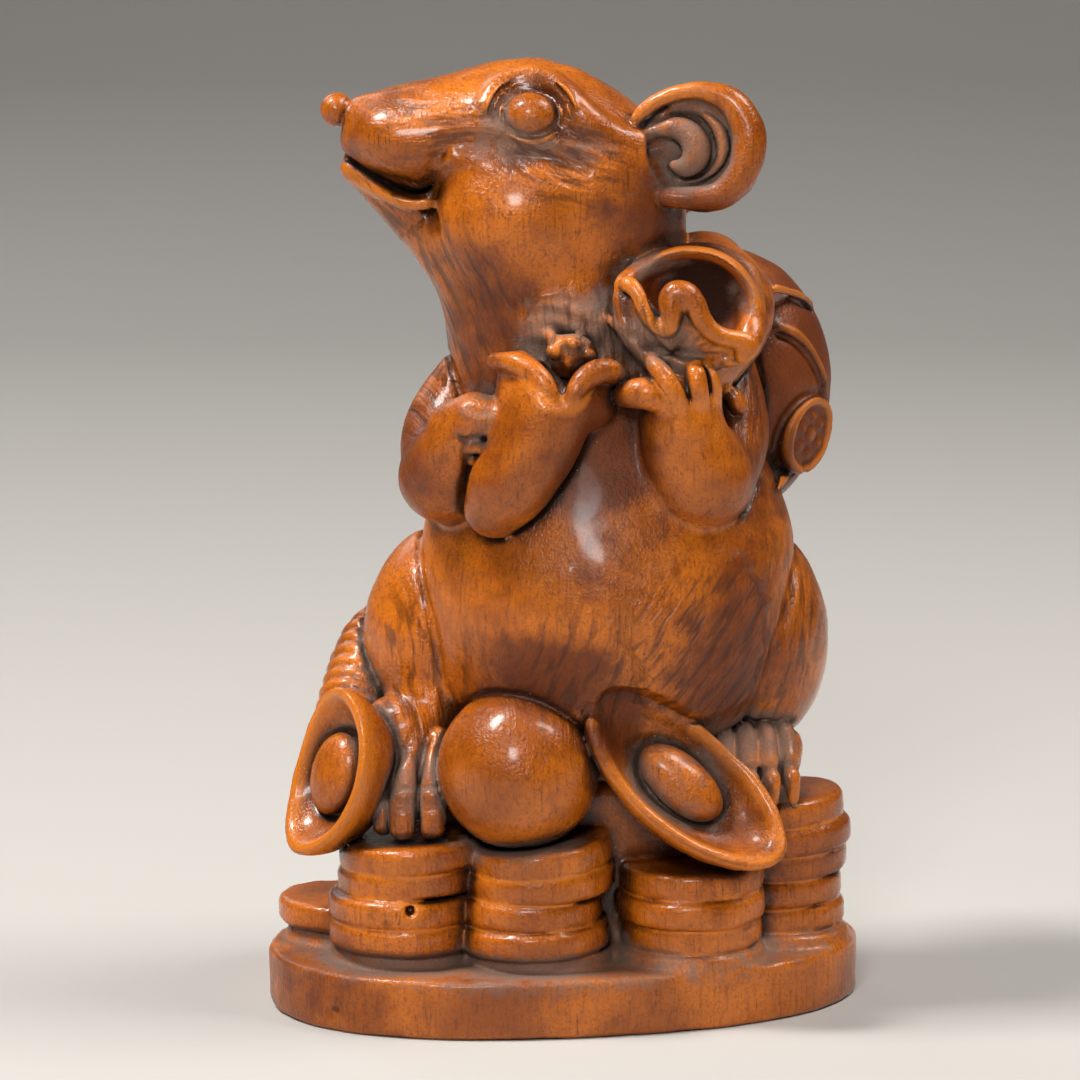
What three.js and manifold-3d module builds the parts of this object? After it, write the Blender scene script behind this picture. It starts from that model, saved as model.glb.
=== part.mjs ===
// A rat standing on stacks of coins, carved from one block of boxwood: it holds the neck of a
// treasure sack in its left paw and a lobed pod in its right, with a pearl and two boat ingots
// in front of it. Millimetres, +Z up, the belly towards -Y, origin at the middle of the underside.
import * as THREE from "three";
import { mergeVertices } from "three/addons/utils/BufferGeometryUtils.js";
import Module from "manifold-3d";

const wasm = await Module();
wasm.setup();

// Plinth: an oval slab, turned a little against the figure.
const plinthLength = 57;
const plinthWidth = 37;
const plinthHeight = 5.6;
const plinthTurn = 12; // degrees, right end back
const plinthEdge = 0.5;

// Coins, the pearl and the ingots that lie on the plinth.
const coinRadius = 6.9;
const coinThickness = 2.6;
const coinEdge = 0.35;
const coinGroove = 0.9;
const pearlRadius = 7.7;
const rightIngotLength = 15.8;
const leftIngotLength = 22.6;
const ingotWidth = 10.3;
const ingotDepth = 5.2;

// The rat: its height over the coins it stands on. Its pose and proportions are shares of that.
const ratHeight = 69.8;

// Sides of round pieces.
const coinSides = 10;
const bodySides = 18;
const limbSides = 10;
const roundEnd = 58; // degrees round a limb's end where its cap ring lies

const coreHeight = 6.2 * coinThickness;
const footing = plinthHeight + 5.6 * coinThickness; // where the soles are
const [drawnSoles, drawnCrown] = [20.2, 90]; // levels in the figure's own drawing
const unit = ratHeight / (drawnCrown - drawnSoles); // one drawing unit in millimetres

const vec = (x, y, z) => new THREE.Vector3(x, y, z);
const at = (x, y, z) => vec(x * unit, y * unit, footing + (z - drawnSoles) * unit);
const rad = THREE.MathUtils.degToRad;

// Geometry to a solid that can be joined and cut, its faces pointing out.
function solid(geometry) {
  const bare = geometry.index ? geometry.toNonIndexed() : geometry.clone();
  for (const name of Object.keys(bare.attributes)) {
    if (name !== "position") bare.deleteAttribute(name);
  }
  const merged = mergeVertices(bare, 1e-4);
  const vertProperties = merged.attributes.position.array;
  const corners = Array.from(merged.index.array);
  const make = (triVerts) => new wasm.Manifold(new wasm.Mesh({ numProp: 3, vertProperties, triVerts }));
  const made = make(new Uint32Array(corners));
  return made.volume() > 0 ? made : make(new Uint32Array(corners.reverse()));
}

// The pockets that forms close in between them stay solid wood: only the outer skin counts.
const outerSkin = (made) => made.decompose().sort((a, b) => b.volume() - a.volume())[0];

// A closed skin over rings of equally many points, each end closed on its ring's middle.
function skin(rings) {
  const sides = rings[0].length;
  const points = rings.flat();
  const first = points.length;
  for (const ring of [rings[0], rings[rings.length - 1]]) {
    const middle = ring.reduce((sum, p) => sum.add(p), vec(0, 0, 0));
    points.push(middle.divideScalar(sides));
  }
  const faces = [];
  for (let i = 0; i < sides; i++) {
    const j = (i + 1) % sides;
    faces.push(first, j, i);
    for (let r = 0; r < rings.length - 1; r++) {
      const low = r * sides;
      const high = low + sides;
      faces.push(low + i, low + j, high + j, low + i, high + j, high + i);
    }
    const top = (rings.length - 1) * sides;
    faces.push(first + 1, top + i, top + j);
  }
  return solid(new THREE.BufferGeometry().setFromPoints(points).setIndex(faces));
}

// One ring round a middle point, from its two half-axes.
function ring(middle, u, v, sides) {
  const made = [];
  for (let i = 0; i < sides; i++) {
    const a = (i / sides) * 2 * Math.PI;
    made.push(middle.clone().addScaledVector(u, Math.cos(a)).addScaledVector(v, Math.sin(a)));
  }
  return made;
}

// A smooth value along a list of numbers, t from 0 to 1.
function along(values, t) {
  const spline = new THREE.CatmullRomCurve3(values.map((v) => vec(v, 0, 0)));
  return spline.getPoint(t).x;
}

// A round limb with rounded ends. Each stop is [x, y, z, radius] in drawing units.
function limb(stops, sides = limbSides, steps = 2) {
  const path = new THREE.CatmullRomCurve3(stops.map(([x, y, z]) => at(x, y, z)));
  const radii = stops.map((stop) => stop[3] * unit);
  const count = steps * (stops.length - 1);
  const rings = [];
  path.arcLengthDivisions = 40;
  const frames = path.computeFrenetFrames(count, false);
  const put = (i, shift, share) => {
    const r = along(radii, path.getUtoTmapping(i / count));
    const middle = path.getPointAt(i / count).addScaledVector(frames.tangents[i], shift * r);
    const u = frames.normals[i].clone().multiplyScalar(r * share);
    const v = frames.binormals[i].clone().multiplyScalar(r * share);
    rings.push(ring(middle, u, v, sides));
  };
  put(0, -Math.sin(rad(roundEnd)), Math.cos(rad(roundEnd)));
  for (let i = 0; i <= count; i++) put(i, 0, 1);
  put(count, Math.sin(rad(roundEnd)), Math.cos(rad(roundEnd)));
  return skin(rings);
}

// An egg-shaped form from its half-sizes, turned in degrees about X, then Y, then Z.
function egg([x, y, z], [rx, ry, rz], [tx, ty, tz] = [0, 0, 0], sides = 12, rows = 7) {
  const ball = new THREE.SphereGeometry(unit, sides, rows).scale(rx, ry, rz);
  ball.rotateX(rad(tx)).rotateY(rad(ty)).rotateZ(rad(tz));
  const middle = at(x, y, z);
  return solid(ball.translate(middle.x, middle.y, middle.z));
}

// A turned piece: [radius, height] pairs from the axis round to the axis again.
function turned(profile, sides) {
  const points = profile.map(([r, h]) => new THREE.Vector2(r, h));
  return new THREE.LatheGeometry(points, sides).rotateX(Math.PI / 2);
}

function plinth() {
  const shape = new THREE.Shape();
  const points = [];
  const count = 34;
  const power = 2 / 2.25; // slightly squarer than an ellipse
  const bend = (v) => Math.sign(v) * Math.abs(v) ** power;
  for (let i = 0; i < count; i++) {
    const a = (i / count) * 2 * Math.PI;
    const x = (plinthLength / 2 - plinthEdge) * bend(Math.cos(a));
    const y = (plinthWidth / 2 - plinthEdge) * bend(Math.sin(a));
    points.push(new THREE.Vector2(x, y));
  }
  shape.setFromPoints(points);
  const slab = new THREE.ExtrudeGeometry(shape, {
    depth: plinthHeight - 2 * plinthEdge,
    bevelSize: plinthEdge,
    bevelThickness: plinthEdge,
    bevelSegments: 1,
    steps: 1,
  });
  return solid(slab.translate(0, 0, plinthEdge).rotateZ(rad(plinthTurn)));
}

// A stack of coins as one skin: each coin is [shift x, shift y, tilt x, tilt y] in millimetres and
// degrees from the bottom up, with a groove between it and the next.
function stack(x, y, coins) {
  const rings = [];
  const base = plinthHeight - 0.5 * coinThickness; // the lowest coin is half sunk in the plinth
  const put = (level, [dx, dy, tiltX, tiltY], height, radius) => {
    const tilt = new THREE.Euler(rad(tiltX), rad(tiltY), 0);
    const u = vec(radius, 0, 0).applyEuler(tilt);
    const v = vec(0, radius, 0).applyEuler(tilt);
    const middle = vec(x + dx, y + dy, base + level * coinThickness + height);
    rings.push(ring(middle, u, v, coinSides));
  };
  coins.forEach((coin, level) => {
    const last = level === coins.length - 1;
    put(level, coin, 0, coinRadius - coinGroove);
    put(level, coin, coinEdge, coinRadius);
    put(level, coin, coinThickness - coinEdge, coinRadius);
    if (last) put(level, coin, coinThickness, coinRadius - coinEdge);
  });
  return skin(rings);
}

// The stacks: middle as shares of the plinth's half sizes, then each coin from the bottom up.
const stacks = [
  { x: -0.71, y: 0.02, coins: [[0.2, 0, 0, 1], [-0.3, 0.2, -1, 2]] },
  {
    x: -0.535,
    y: -0.45,
    coins: [[0, 0.6, 0, 0], [0, 0, 0, 0], [0, 0, 0, 0], [0.5, 0.3, 0, -3], [1, 0.4, 1, -4]],
  },
  {
    x: -0.09,
    y: -0.53,
    coins: [[0.2, 0.8, 0, 0], [-0.2, 0, 1, -2], [-0.5, 0, 0, -1], [0.3, 0.3, 0, -4], [0.3, 0, 2, -6]],
  },
  { x: 0.42, y: -0.46, coins: [[-0.2, 0.2, 0, 0], [0, 0.4, 0, -1], [0, 0, 0, -1], [0.2, 0.5, 0, -2]] },
  {
    x: 0.7,
    y: 0.02,
    coins: [
      [0.9, -0.5, 0, 0],
      [0.1, 0.6, 0, 0],
      [0, 0, 0, -1],
      [0.2, 0.3, 0, -2],
      [0.5, -0.2, 1, -3],
      [0.1, -0.4, 1, -4],
    ],
  },
  { x: 0.45, y: 0.53, coins: [[0, 0, 0, 0], [0.4, 0.2, 1, 0], [-0.3, 0.4, 0, 2], [0.2, 0, 1, -1]] },
  {
    x: -0.02,
    y: 0.55,
    coins: [[0.3, 0.2, 0, 0], [-0.3, 0, 0, 1], [0.2, 0.3, -1, 1], [0, -0.2, 1, 2], [0.3, 0, 1, 1]],
  },
  { x: -0.46, y: 0.47, coins: [[0, 0, 0, 0], [0.3, 0.3, 1, -1], [-0.2, 0, -1, 1], [0.3, 0.2, 0, 0]] },
];

const coinStacks = () =>
  stacks.map(({ x, y, coins }) => stack((x * plinthLength) / 2, (y * plinthWidth) / 2, coins));

// The wood left standing between the stacks, under the rump.
function core() {
  const rx = 0.31 * plinthLength;
  const ry = 0.26 * plinthWidth;
  const rings = [0, 0.45, 1].map((share) => {
    const slim = 1 - 0.12 * share;
    const middle = vec(1, 1.6, plinthHeight - plinthEdge + share * coreHeight);
    return ring(middle, vec(rx * slim, 0, 0), vec(0, ry * slim, 0), bodySides);
  });
  return skin(rings);
}

function pearl() {
  const ball = new THREE.SphereGeometry(pearlRadius, 18, 10);
  const middle = at(-4.3, -10.6, 24.2);
  return solid(ball.translate(middle.x, middle.y, middle.z));
}

// A boat ingot: an oval dish with a domed middle and raised ends. Its length runs along X and
// its mouth faces +Z before it is turned so that they face the two directions given.
function ingot(middle, length, lengthways, mouth) {
  const dish = turned(
    [
      [0, 0.45],
      [0.3, 0.33],
      [0.43, 0.02],
      [0.6, -0.02],
      [0.93, 0.5],
      [1, 0.46],
      [0.86, -0.2],
      [0.5, -0.72],
      [0, -0.8],
    ],
    16,
  );
  const lift = 0.22; // how far the two ends rise, as a share of the depth
  const place = dish.getAttribute("position");
  for (let i = 0; i < place.count; i++) {
    const x = place.getX(i);
    place.setXYZ(
      i,
      (x * length) / 2,
      (place.getY(i) * ingotWidth) / 2,
      (place.getZ(i) + lift * x * x) * ingotDepth,
    );
  }
  const z = mouth.clone().normalize();
  const y = vec(0, 0, 0).crossVectors(z, lengthways).normalize();
  const x = vec(0, 0, 0).crossVectors(y, z);
  const turn = new THREE.Matrix4().makeBasis(x, y, z).setPosition(middle);
  return solid(dish.applyMatrix4(turn));
}

// Rings stacked upwards: [height, middle x, middle y, half width, half depth] in drawing units.
function torso() {
  const levels = [
    [24, 3.5, 1, 11, 9],
    [28, 3.8, 0, 14.6, 13],
    [32, 4, -0.4, 16.8, 14.4],
    [37, 4, -0.6, 17.9, 15],
    [42, 4, -0.6, 18, 14.8],
    [47, 4.1, -0.2, 17.2, 13.9],
    [54, 3.2, 0.3, 15, 12.1],
    [62, 0.7, 0.2, 11.2, 10],
    [72, -0.6, 0, 9.6, 8.4],
  ];
  return skin(
    levels.map(([z, x, y, rx, ry]) =>
      ring(at(x, y, z), vec(rx * unit, 0, 0), vec(0, ry * unit, 0), bodySides),
    ),
  );
}

// The head from the muzzle back: [x, middle y, top z, half height, half width] in drawing units.
const skullSlices = [
  [-21.1, -1.3, 84.7, 1.7, 1.6],
  [-20.4, -1.3, 86, 2.7, 2.6],
  [-19.2, -1.3, 86.7, 3.3, 3.5],
  [-17.6, -1.2, 87.2, 3.8, 4.3],
  [-14.5, -1.0, 88.0, 4.7, 5.4],
  [-11, -0.8, 88.8, 6.1, 6.7],
  [-7, -0.6, 89.8, 8.3, 8],
  [-2.5, -0.5, 90, 9.9, 9],
  [2, -0.4, 88.8, 9.8, 9.2],
  [6, -0.3, 86.4, 8.8, 8.6],
  [9, -0.2, 83.4, 6.8, 6.8],
  [10.6, -0.2, 80.2, 3.9, 4],
];

function skull() {
  return skin(
    skullSlices.map(([x, y, top, rz, ry]) =>
      ring(at(x, y, top - rz), vec(0, ry * unit, 0), vec(0, 0, rz * unit), 14),
    ),
  );
}

function throat() {
  return limb(
    [
      [-19.3, -1.2, 79.5, 1.4],
      [-15.1, -1.1, 77.1, 2.9],
      [-9.9, -0.9, 74.4, 5.2],
      [-4.6, -0.6, 71, 7.8],
      [-0.8, -0.2, 65.5, 9.5],
      [1.4, 0, 60, 10.8],
    ],
    12,
    1,
  );
}

// The head's side at a place in its profile, on the near side (-1) or the far side (1).
function onSkull(x, z, side) {
  const last = skullSlices.findIndex((slice) => slice[0] > x);
  const [before, after] = [skullSlices[last - 1], skullSlices[last]];
  const share = (x - before[0]) / (after[0] - before[0]);
  const [, y, top, rz, ry] = before.map((value, i) => value + (after[i] - value) * share);
  const height = (z - (top - rz)) / rz;
  return y + side * ry * Math.sqrt(Math.max(0.04, 1 - height * height));
}

// The slit between the lips: on each side a thin wedge that follows the mouth line.
function mouthSlit() {
  const line = [
    [-22.5, 81.7, 0],
    [-20.3, 80.9, 0],
    [-17.5, 79.1, 2.6],
    [-14.4, 78, 3.6],
    [-12.2, 78.7, 4],
  ];
  const outside = 8;
  const half = 0.34;
  const wedge = (side) =>
    skin(
      line.map(([x, z, inside], i) => {
        const thick = half * (i === line.length - 1 ? 0.3 : 1);
        const near = side * inside - 1.3;
        const far = side * outside - 1.3;
        return [at(x, far, z - thick), at(x, near, z - thick), at(x, near, z + thick), at(x, far, z + thick)];
      }),
    );
  return [wedge(-1), wedge(1)];
}

function face() {
  const laid = (stops, side) =>
    limb(stops.map(([x, z, radius]) => [x, onSkull(x, z, side), z, radius]), 6, 1);
  const brow = [
    [-6.8, 86.9, 0.5],
    [-4.1, 88.6, 0.8],
    [-0.9, 87.4, 1.2],
    [1.4, 85.4, 1.5],
    [3.7, 84, 1.2],
    [5.8, 83.1, 0.9],
  ];
  const lowerLid = [
    [-5.9, 83.9, 0.45],
    [-4.2, 82.6, 0.6],
    [-2, 82.7, 0.6],
    [-0.5, 84, 0.4],
  ];
  const halfOf = (side) => [
    egg([-3.1, side * 6.75 - 0.55, 85.4], [2.45, 2.4, 2.05], [0, 0, 0], 8, 6),
    laid(brow, side),
    laid(lowerLid, side),
    egg([-4, side * 4.6 - 0.6, 75.6], [7.9, 6.1, 7.2], [0, 0, 0], 10, 6),
    egg([-14.5, side * 3.2 - 1.1, 82.6], [5.2, 2.9, 3.2], [0, 12, 0], 8, 5),
  ];
  return [egg([-21.8, -1.4, 85.4], [1.4, 1.55, 1.4], [0, 0, 0], 8, 6), ...halfOf(-1), ...halfOf(1)];
}

// A cupped ear with a rolled rim, its hollow facing along a direction.
function ear(middle, radius, faces) {
  const bowl = turned(
    [
      [0, -0.12],
      [0.5, -0.1],
      [0.72, 0.08],
      [0.86, 0.3],
      [0.97, 0.28],
      [1, 0.12],
      [0.86, -0.2],
      [0.45, -0.42],
      [0, -0.46],
    ],
    13,
  );
  const grown = radius * unit;
  bowl.scale(grown, grown * 0.98, grown);
  const turn = new THREE.Quaternion().setFromUnitVectors(vec(0, 0, 1), faces.normalize());
  const spot = at(...middle);
  return solid(bowl.applyQuaternion(turn).translate(spot.x, spot.y, spot.z));
}

function ears() {
  return [
    ear([12.8, -6.4, 82.1], 6.15, vec(-0.12, -0.97, 0.1)),
    limb(
      [
        [6.6, -6.9, 82.6, 0.6],
        [9, -7, 84, 1],
        [11.7, -7.2, 83.4, 1.25],
        [12.1, -7.1, 81.1, 1.2],
        [10.2, -6.9, 80.6, 0.6],
      ],
      6,
      1,
    ),
    limb([[5, -4.4, 80.6, 4.2], [9, -5.6, 81.6, 3.4]], 8, 1),
    ear([9.4, 7.6, 79.6], 6, vec(-0.42, 0.88, 0.14)),
    limb([[5, 3.6, 79.6, 4], [8, 5.6, 79.6, 3.2]], 8, 1),
  ];
}

function legs() {
  return [
    egg([-11.9, 1.8, 35.6], [7.3, 8.4, 9.8], [0, 8, 0], 11, 7),
    egg([17.8, 1.4, 35.2], [7.5, 8.8, 10.8], [0, -6, 0]),
    limb([[-12.4, -1.6, 30, 4.6], [-13.4, -4, 26.2, 3.4]], 8, 1),
    limb([[18.2, 0.6, 29, 4.8], [18.2, -1.2, 26.4, 3.6]], 8, 1),
    egg([3.2, 5, 28.5], [14.5, 11.5, 10.5], [0, 0, 0]),
  ];
}

// Paws with long toes: each toe is a bent limb, and the left ones end in a claw.
function feet() {
  const right = [
    [[-15.4, -7, 25, 0.95], [-16.7, -9.7, 21.8, 1.1], [-16.9, -10.2, 19.9, 1]],
    [[-13.6, -7.6, 25.4, 1.15], [-14.9, -10.6, 21.8, 1.45], [-15, -11, 19.8, 1.3]],
    [[-12, -8, 25.6, 1.15], [-12.7, -10.8, 21.9, 1.4], [-12.8, -11.2, 19.9, 1.25]],
  ];
  const left = [13.2, 15.1, 17.4, 19.3, 21.2].map((x, i) => {
    const back = 0.7 * Math.max(0, x - 18.5);
    const lean = 0.35 * i - 0.6;
    return [
      [x - lean, -2.6, 27.2, 1.15],
      [x, -7.6 + back, 24.2, 1.15],
      [x + 0.7, -8.5 + back, 21, 0.55],
    ];
  });
  return [
    egg([17.6, -2.2, 24.6], [5, 5, 3.4], [16, 0, 0], 9, 6),
    egg([-14, -5.6, 24], [4.4, 4.2, 3.4], [16, 0, 0], 8, 5),
    ...[...right, ...left].map((toe) => limb(toe, 6, 1)),
  ];
}

// The tail, curled round the right hip from the rump to the ingot.
function tail() {
  return limb(
    [
      [7, 10, 24, 4],
      [-2, 14.6, 26, 4.6],
      [-11.5, 12.2, 31.5, 5],
      [-16.8, 6, 33.2, 4.3],
      [-20, 0.6, 28.4, 3.7],
      [-20.6, -4, 22.8, 2.6],
    ],
    10,
    2,
  );
}

function arms() {
  return [
    // The left arm, folded up to the neck of the sack.
    limb([[13.5, -1, 61, 4.6], [14.9, -4.2, 55.5, 4.4], [13.6, -8.4, 51.4, 4.3]], 10, 1),
    limb([[12.7, -10.2, 51.9, 4.9], [11.2, -11.4, 55.4, 4.1], [10.4, -11.7, 59.2, 3.3]], 10, 1),
    // Its thumb, then the fingers.
    limb([[4.7, -14, 60.4, 0.9], [7.4, -15.1, 60.4, 1.25], [10.2, -14, 57.8, 1.3]], 6, 1),
    limb([[8.3, -14.3, 63, 0.8], [9.8, -15.5, 61.3, 1.15], [11.6, -14.8, 58, 0.9]], 6, 1),
    limb([[11.3, -14.2, 62.8, 0.8], [12.5, -15, 60.6, 1.05], [13, -14.2, 58.6, 0.9]], 6, 1),
    limb([[13.1, -13.7, 62.4, 0.6], [14, -13.7, 60.2, 0.75]], 6, 1),
    // The right arm, its fingers round the pod.
    limb([[-7.2, 0.4, 59.6, 4.6], [-10.4, -1.6, 55, 4.8], [-11, -6, 51.6, 4.4]], 10, 1),
    limb([[-11, -7.4, 51.4, 4.5], [-10, -10, 55, 3.2], [-8.2, -11.4, 57.6, 2.4]], 10, 1),
    ...[59.3, 57.2, 54.9].map((z, i) =>
      limb([[-9.4 + 0.2 * i, -11.8, z - 0.4, 1.15], [-7, -13.2, z, 1.05]], 6, 1),
    ),
  ];
}

// The pod in the right paw: a tapered body with two curled lips and a knobbly seed between them.
function pod() {
  const lip = (stops) => limb(stops, 6, 1);
  return [
    limb(
      [[-6.5, -12, 49.4, 3], [-4.9, -12.8, 52, 4], [-3, -13, 55.5, 4.3], [-1.4, -13, 59, 4.3]],
      12,
      1,
    ),
    egg([-1, -12.4, 59.4], [5, 3.6, 3.4], [0, 0, 0], 8, 5),
    lip([[-6.4, -12.2, 63, 0.9], [-3.7, -14.6, 62.7, 1.15], [-0.8, -16.1, 59.6, 0.7]]),
    lip([[0.3, -16.1, 59.6, 0.7], [3, -14.7, 62.3, 1.15], [5.3, -12.8, 61.5, 0.9]]),
    limb([[-4, -11.8, 59.6, 2.4], [-4.4, -12, 62.2, 1.8]], 6, 1),
    limb([[2.4, -12, 59.2, 2.4], [3, -12, 61.4, 1.7]], 6, 1),
    egg([0.6, -11.8, 63.6], [2.5, 2, 2.1], [0, 0, 0], 8, 6),
  ];
}

function sack() {
  const body = egg([14.8, 8, 58.3], [10.9, 10, 13.2]);
  const strap = limb([[13, 2, 68.6, 5], [14.6, -3, 66.6, 5.2], [13, -7.2, 63.6, 4.4]], 10, 1);
  return [body, strap, ...sackCoins()];
}

// Two coins carved in relief on the sack, and the fold over its top.
function sackCoins() {
  const disc = (middle, faces, radius) => {
    const lathe = turned(
      [
        [0, -0.6],
        [0.8, -0.6],
        [1, -0.3],
        [1, 0.24],
        [0.78, 0.24],
        [0.74, 0.08],
        [0, 0.08],
      ],
      10,
    );
    lathe.scale(radius * unit, radius * unit, 3 * unit);
    const turn = new THREE.Quaternion().setFromUnitVectors(vec(0, 0, 1), faces.normalize());
    const spot = at(...middle);
    return solid(lathe.applyQuaternion(turn).translate(spot.x, spot.y, spot.z));
  };
  return [
    disc([22.6, 3.6, 54], vec(0.82, -0.52, -0.2), 3.9),
    disc([12, 17.2, 56], vec(-0.2, 0.97, -0.16), 4.2),
  ];
}

// The open mouth of the sack: a ruffled cup whose rim runs through these points, first along
// its back and then along its front, where the cloth stands up in a fold.
function sackMouth() {
  const back = [
    [4.9, -11.4, 70.3],
    [6.5, -8.8, 71.8],
    [8.5, -7, 72.6],
    [11.4, -5.4, 73.2],
    [13.7, -4.8, 73.3],
    [16.2, -4.4, 72.2],
    [17.9, -5, 70.9],
    [18.7, -6.6, 68.9],
    [18.7, -8.2, 66.8],
    [18.2, -10.6, 64.6],
  ];
  const front = [
    [17.3, -13.3, 64],
    [15.6, -14, 65.4],
    [13.8, -14.4, 66.2],
    [12.9, -14.6, 68.2],
    [11.8, -14.4, 69.9],
    [10.2, -14.4, 70.1],
    [9, -14.4, 68.8],
    [9.1, -14.3, 67],
    [7.9, -14, 67.2],
    [6.8, -13.6, 69.6],
  ];
  const rim = new THREE.CatmullRomCurve3([...back, ...front].map((point) => at(...point)), true);
  const count = 28;
  const edge = rim.getPoints(count).slice(0, count);
  const neck = at(10.8, -11, 62);
  const hollow = at(12.3, -9.2, 66.6);
  const blend = (middle, share) => edge.map((p) => middle.clone().lerp(p, share));
  return skin([blend(neck, 0.35), blend(neck, 0.7), edge, blend(hollow, 0.78), blend(hollow, 0.4)]);
}

function carving() {
  const parts = [
    plinth(),
    core(),
    ...coinStacks(),
    pearl(),
    ingot(at(-20.6, -8, 23), rightIngotLength, vec(0.44, 0.14, 0.89), vec(-0.78, -0.58, 0.25)),
    egg([-15, -4.9, 26.4], [4.4, 3.6, 3.6], [0, 20, 0], 8, 5),
    ingot(at(10.7, -12.1, 22.9), leftIngotLength, vec(0.75, -0.1, -0.66), vec(0.22, -0.87, 0.44)),
    torso(),
    skull(),
    throat(),
    ...face(),
    ...ears(),
    ...legs(),
    ...feet(),
    tail(),
    ...arms(),
    ...pod(),
    ...sack(),
    sackMouth(),
  ];
  return outerSkin(wasm.Manifold.union(parts).subtract(wasm.Manifold.union(mouthSlit())));
}

function geometryOf(made) {
  const mesh = made.getMesh();
  const points = new Float32Array(mesh.numVert * 3);
  for (let i = 0; i < mesh.numVert; i++) {
    points.set(mesh.vertProperties.subarray(i * mesh.numProp, i * mesh.numProp + 3), i * 3);
  }
  const geometry = new THREE.BufferGeometry();
  geometry.setAttribute("position", new THREE.BufferAttribute(points, 3));
  geometry.setIndex(new THREE.BufferAttribute(mesh.triVerts, 1));
  geometry.computeVertexNormals();
  return geometry;
}

const boxwood = new THREE.MeshStandardMaterial({
  color: 0xa55a24,
  roughness: 0.42,
  metalness: 0,
});

const figurine = new THREE.Mesh(geometryOf(carving()), boxwood);
figurine.name = "rat_figurine";

const group = new THREE.Group();
group.add(figurine);

export default group;
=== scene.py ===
# %% [markdown]
# # A carved boxwood rat
# This notebook finishes one small carving: a rat that stands on stacks of coins, holds the neck
# of a sack in one paw and a lobed pod in the other, and has a pearl and two boat ingots at its
# feet. The solid part fixes its size and pose. Here the same forms are modelled again as soft,
# flowing wood, given their fine carving, and stained and waxed.

import math

import bpy
import numpy as np
import openvdb
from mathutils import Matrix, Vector


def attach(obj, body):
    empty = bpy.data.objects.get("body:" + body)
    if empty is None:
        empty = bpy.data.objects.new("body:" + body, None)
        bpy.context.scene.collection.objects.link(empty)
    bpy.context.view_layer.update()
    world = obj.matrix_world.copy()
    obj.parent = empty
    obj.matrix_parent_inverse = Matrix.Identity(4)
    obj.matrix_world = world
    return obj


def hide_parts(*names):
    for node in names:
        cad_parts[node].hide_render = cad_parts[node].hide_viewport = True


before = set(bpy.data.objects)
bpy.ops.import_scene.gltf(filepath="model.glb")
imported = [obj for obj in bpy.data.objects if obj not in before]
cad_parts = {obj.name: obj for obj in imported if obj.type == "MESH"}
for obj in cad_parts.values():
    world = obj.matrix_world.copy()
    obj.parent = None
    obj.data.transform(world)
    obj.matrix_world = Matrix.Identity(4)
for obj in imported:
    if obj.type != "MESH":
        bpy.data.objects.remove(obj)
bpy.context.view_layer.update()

# %% [markdown]
# ## A block to carve
# Carved wood has no seams: a cheek flows into a neck, and a thigh meets the belly in a crease.
# Joining meshes would leave hard edges everywhere, and sculpting by hand can't be written down.
# A field of distances does both: every point of a fine grid holds its distance to the wood, two
# forms join by a soft minimum, and a cut is a soft maximum. The softness is chosen per join.

# %% The block
STEP = 0.25  # grid spacing, mm
LOW = np.array([-30.5, -21.5, -1.5])  # the block's corners, mm
HIGH = np.array([30.5, 21.5, 92.0])
EMPTY = 12.0  # distance to the wood before there is any
LINE_SOFT = 0.25  # rounding at the borders of a carved line
counts = np.ceil((HIGH - LOW) / STEP).astype(int) + 1
lines = [(LOW[i] + STEP * np.arange(counts[i])).astype(np.float32) for i in range(3)]
wood = np.full(counts, EMPTY, np.float32)
print("grid", counts, "=", int(np.prod(counts) / 1e6), "million points")


def soft_min(a, b, k):
    """The nearer of two forms, rounded where they meet."""
    if k <= 0:
        return np.minimum(a, b)
    h = np.clip(k - np.abs(a - b), 0, None) / k
    return np.minimum(a, b) - h * h * k / 4


class Form:
    """A form: a box that it lies in, and its distance at any points of that box."""

    def __init__(self, low, high, distance):
        self.low = np.asarray(low, float)
        self.high = np.asarray(high, float)
        self.distance = distance

    def room(self, spare):
        """The grid cells around the form, and their x, y and z."""
        cells = []
        for i in range(3):
            start = int((self.low[i] - spare - LOW[i]) / STEP)
            stop = int((self.high[i] + spare - LOW[i]) / STEP) + 2
            cells.append(slice(max(0, start), max(1, min(counts[i], stop))))
        x, y, z = (lines[i][cells[i]] for i in range(3))
        return tuple(cells), x[:, None, None], y[None, :, None], z[None, None, :]

    def join(self, soft=0.4, groove=0.0, spare=4.0):
        """Adds the form to the wood, with a carved line round it if a groove is given."""
        cells, x, y, z = self.room(spare)
        new = self.distance(x, y, z)
        old = wood[cells]
        both = soft_min(old, new, soft)
        if groove:
            line = groove - np.sqrt(old * old + new * new)
            both = -soft_min(-both, -line, LINE_SOFT)
        wood[cells] = both

    def cut(self, soft=0.3, spare=1.5, depth=None):
        """Takes the form out of the wood, or only out of a skin of the given depth."""
        cells, x, y, z = self.room(spare)
        old = wood[cells]
        form = self.distance(x, y, z)
        if depth is not None:
            form = np.maximum(form, -old - depth)
        wood[cells] = -soft_min(-old, form, soft)


def surface_y(x, z, side=-1):
    """Where a line along Y first meets the wood, from the front (-1) or the back (1)."""
    i, k = int(round((x - LOW[0]) / STEP)), int(round((z - LOW[2]) / STEP))
    column = wood[i, :, k] if side < 0 else wood[i, ::-1, k]
    j = max(1, int(np.argmax(column < 0)))
    share = column[j - 1] / max(column[j - 1] - column[j], 1e-6)
    edge = lines[1][0] if side < 0 else lines[1][-1]
    return float(edge - side * (j - 1 + share) * STEP)


# %% [markdown]
# ## The basic forms
# Few kinds of form are needed: an egg, a round limb through a few stops, and a slab with
# rounded edges. Each one works in its own turned frame, so that a coin can lean and an ingot
# can face sideways.


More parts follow.
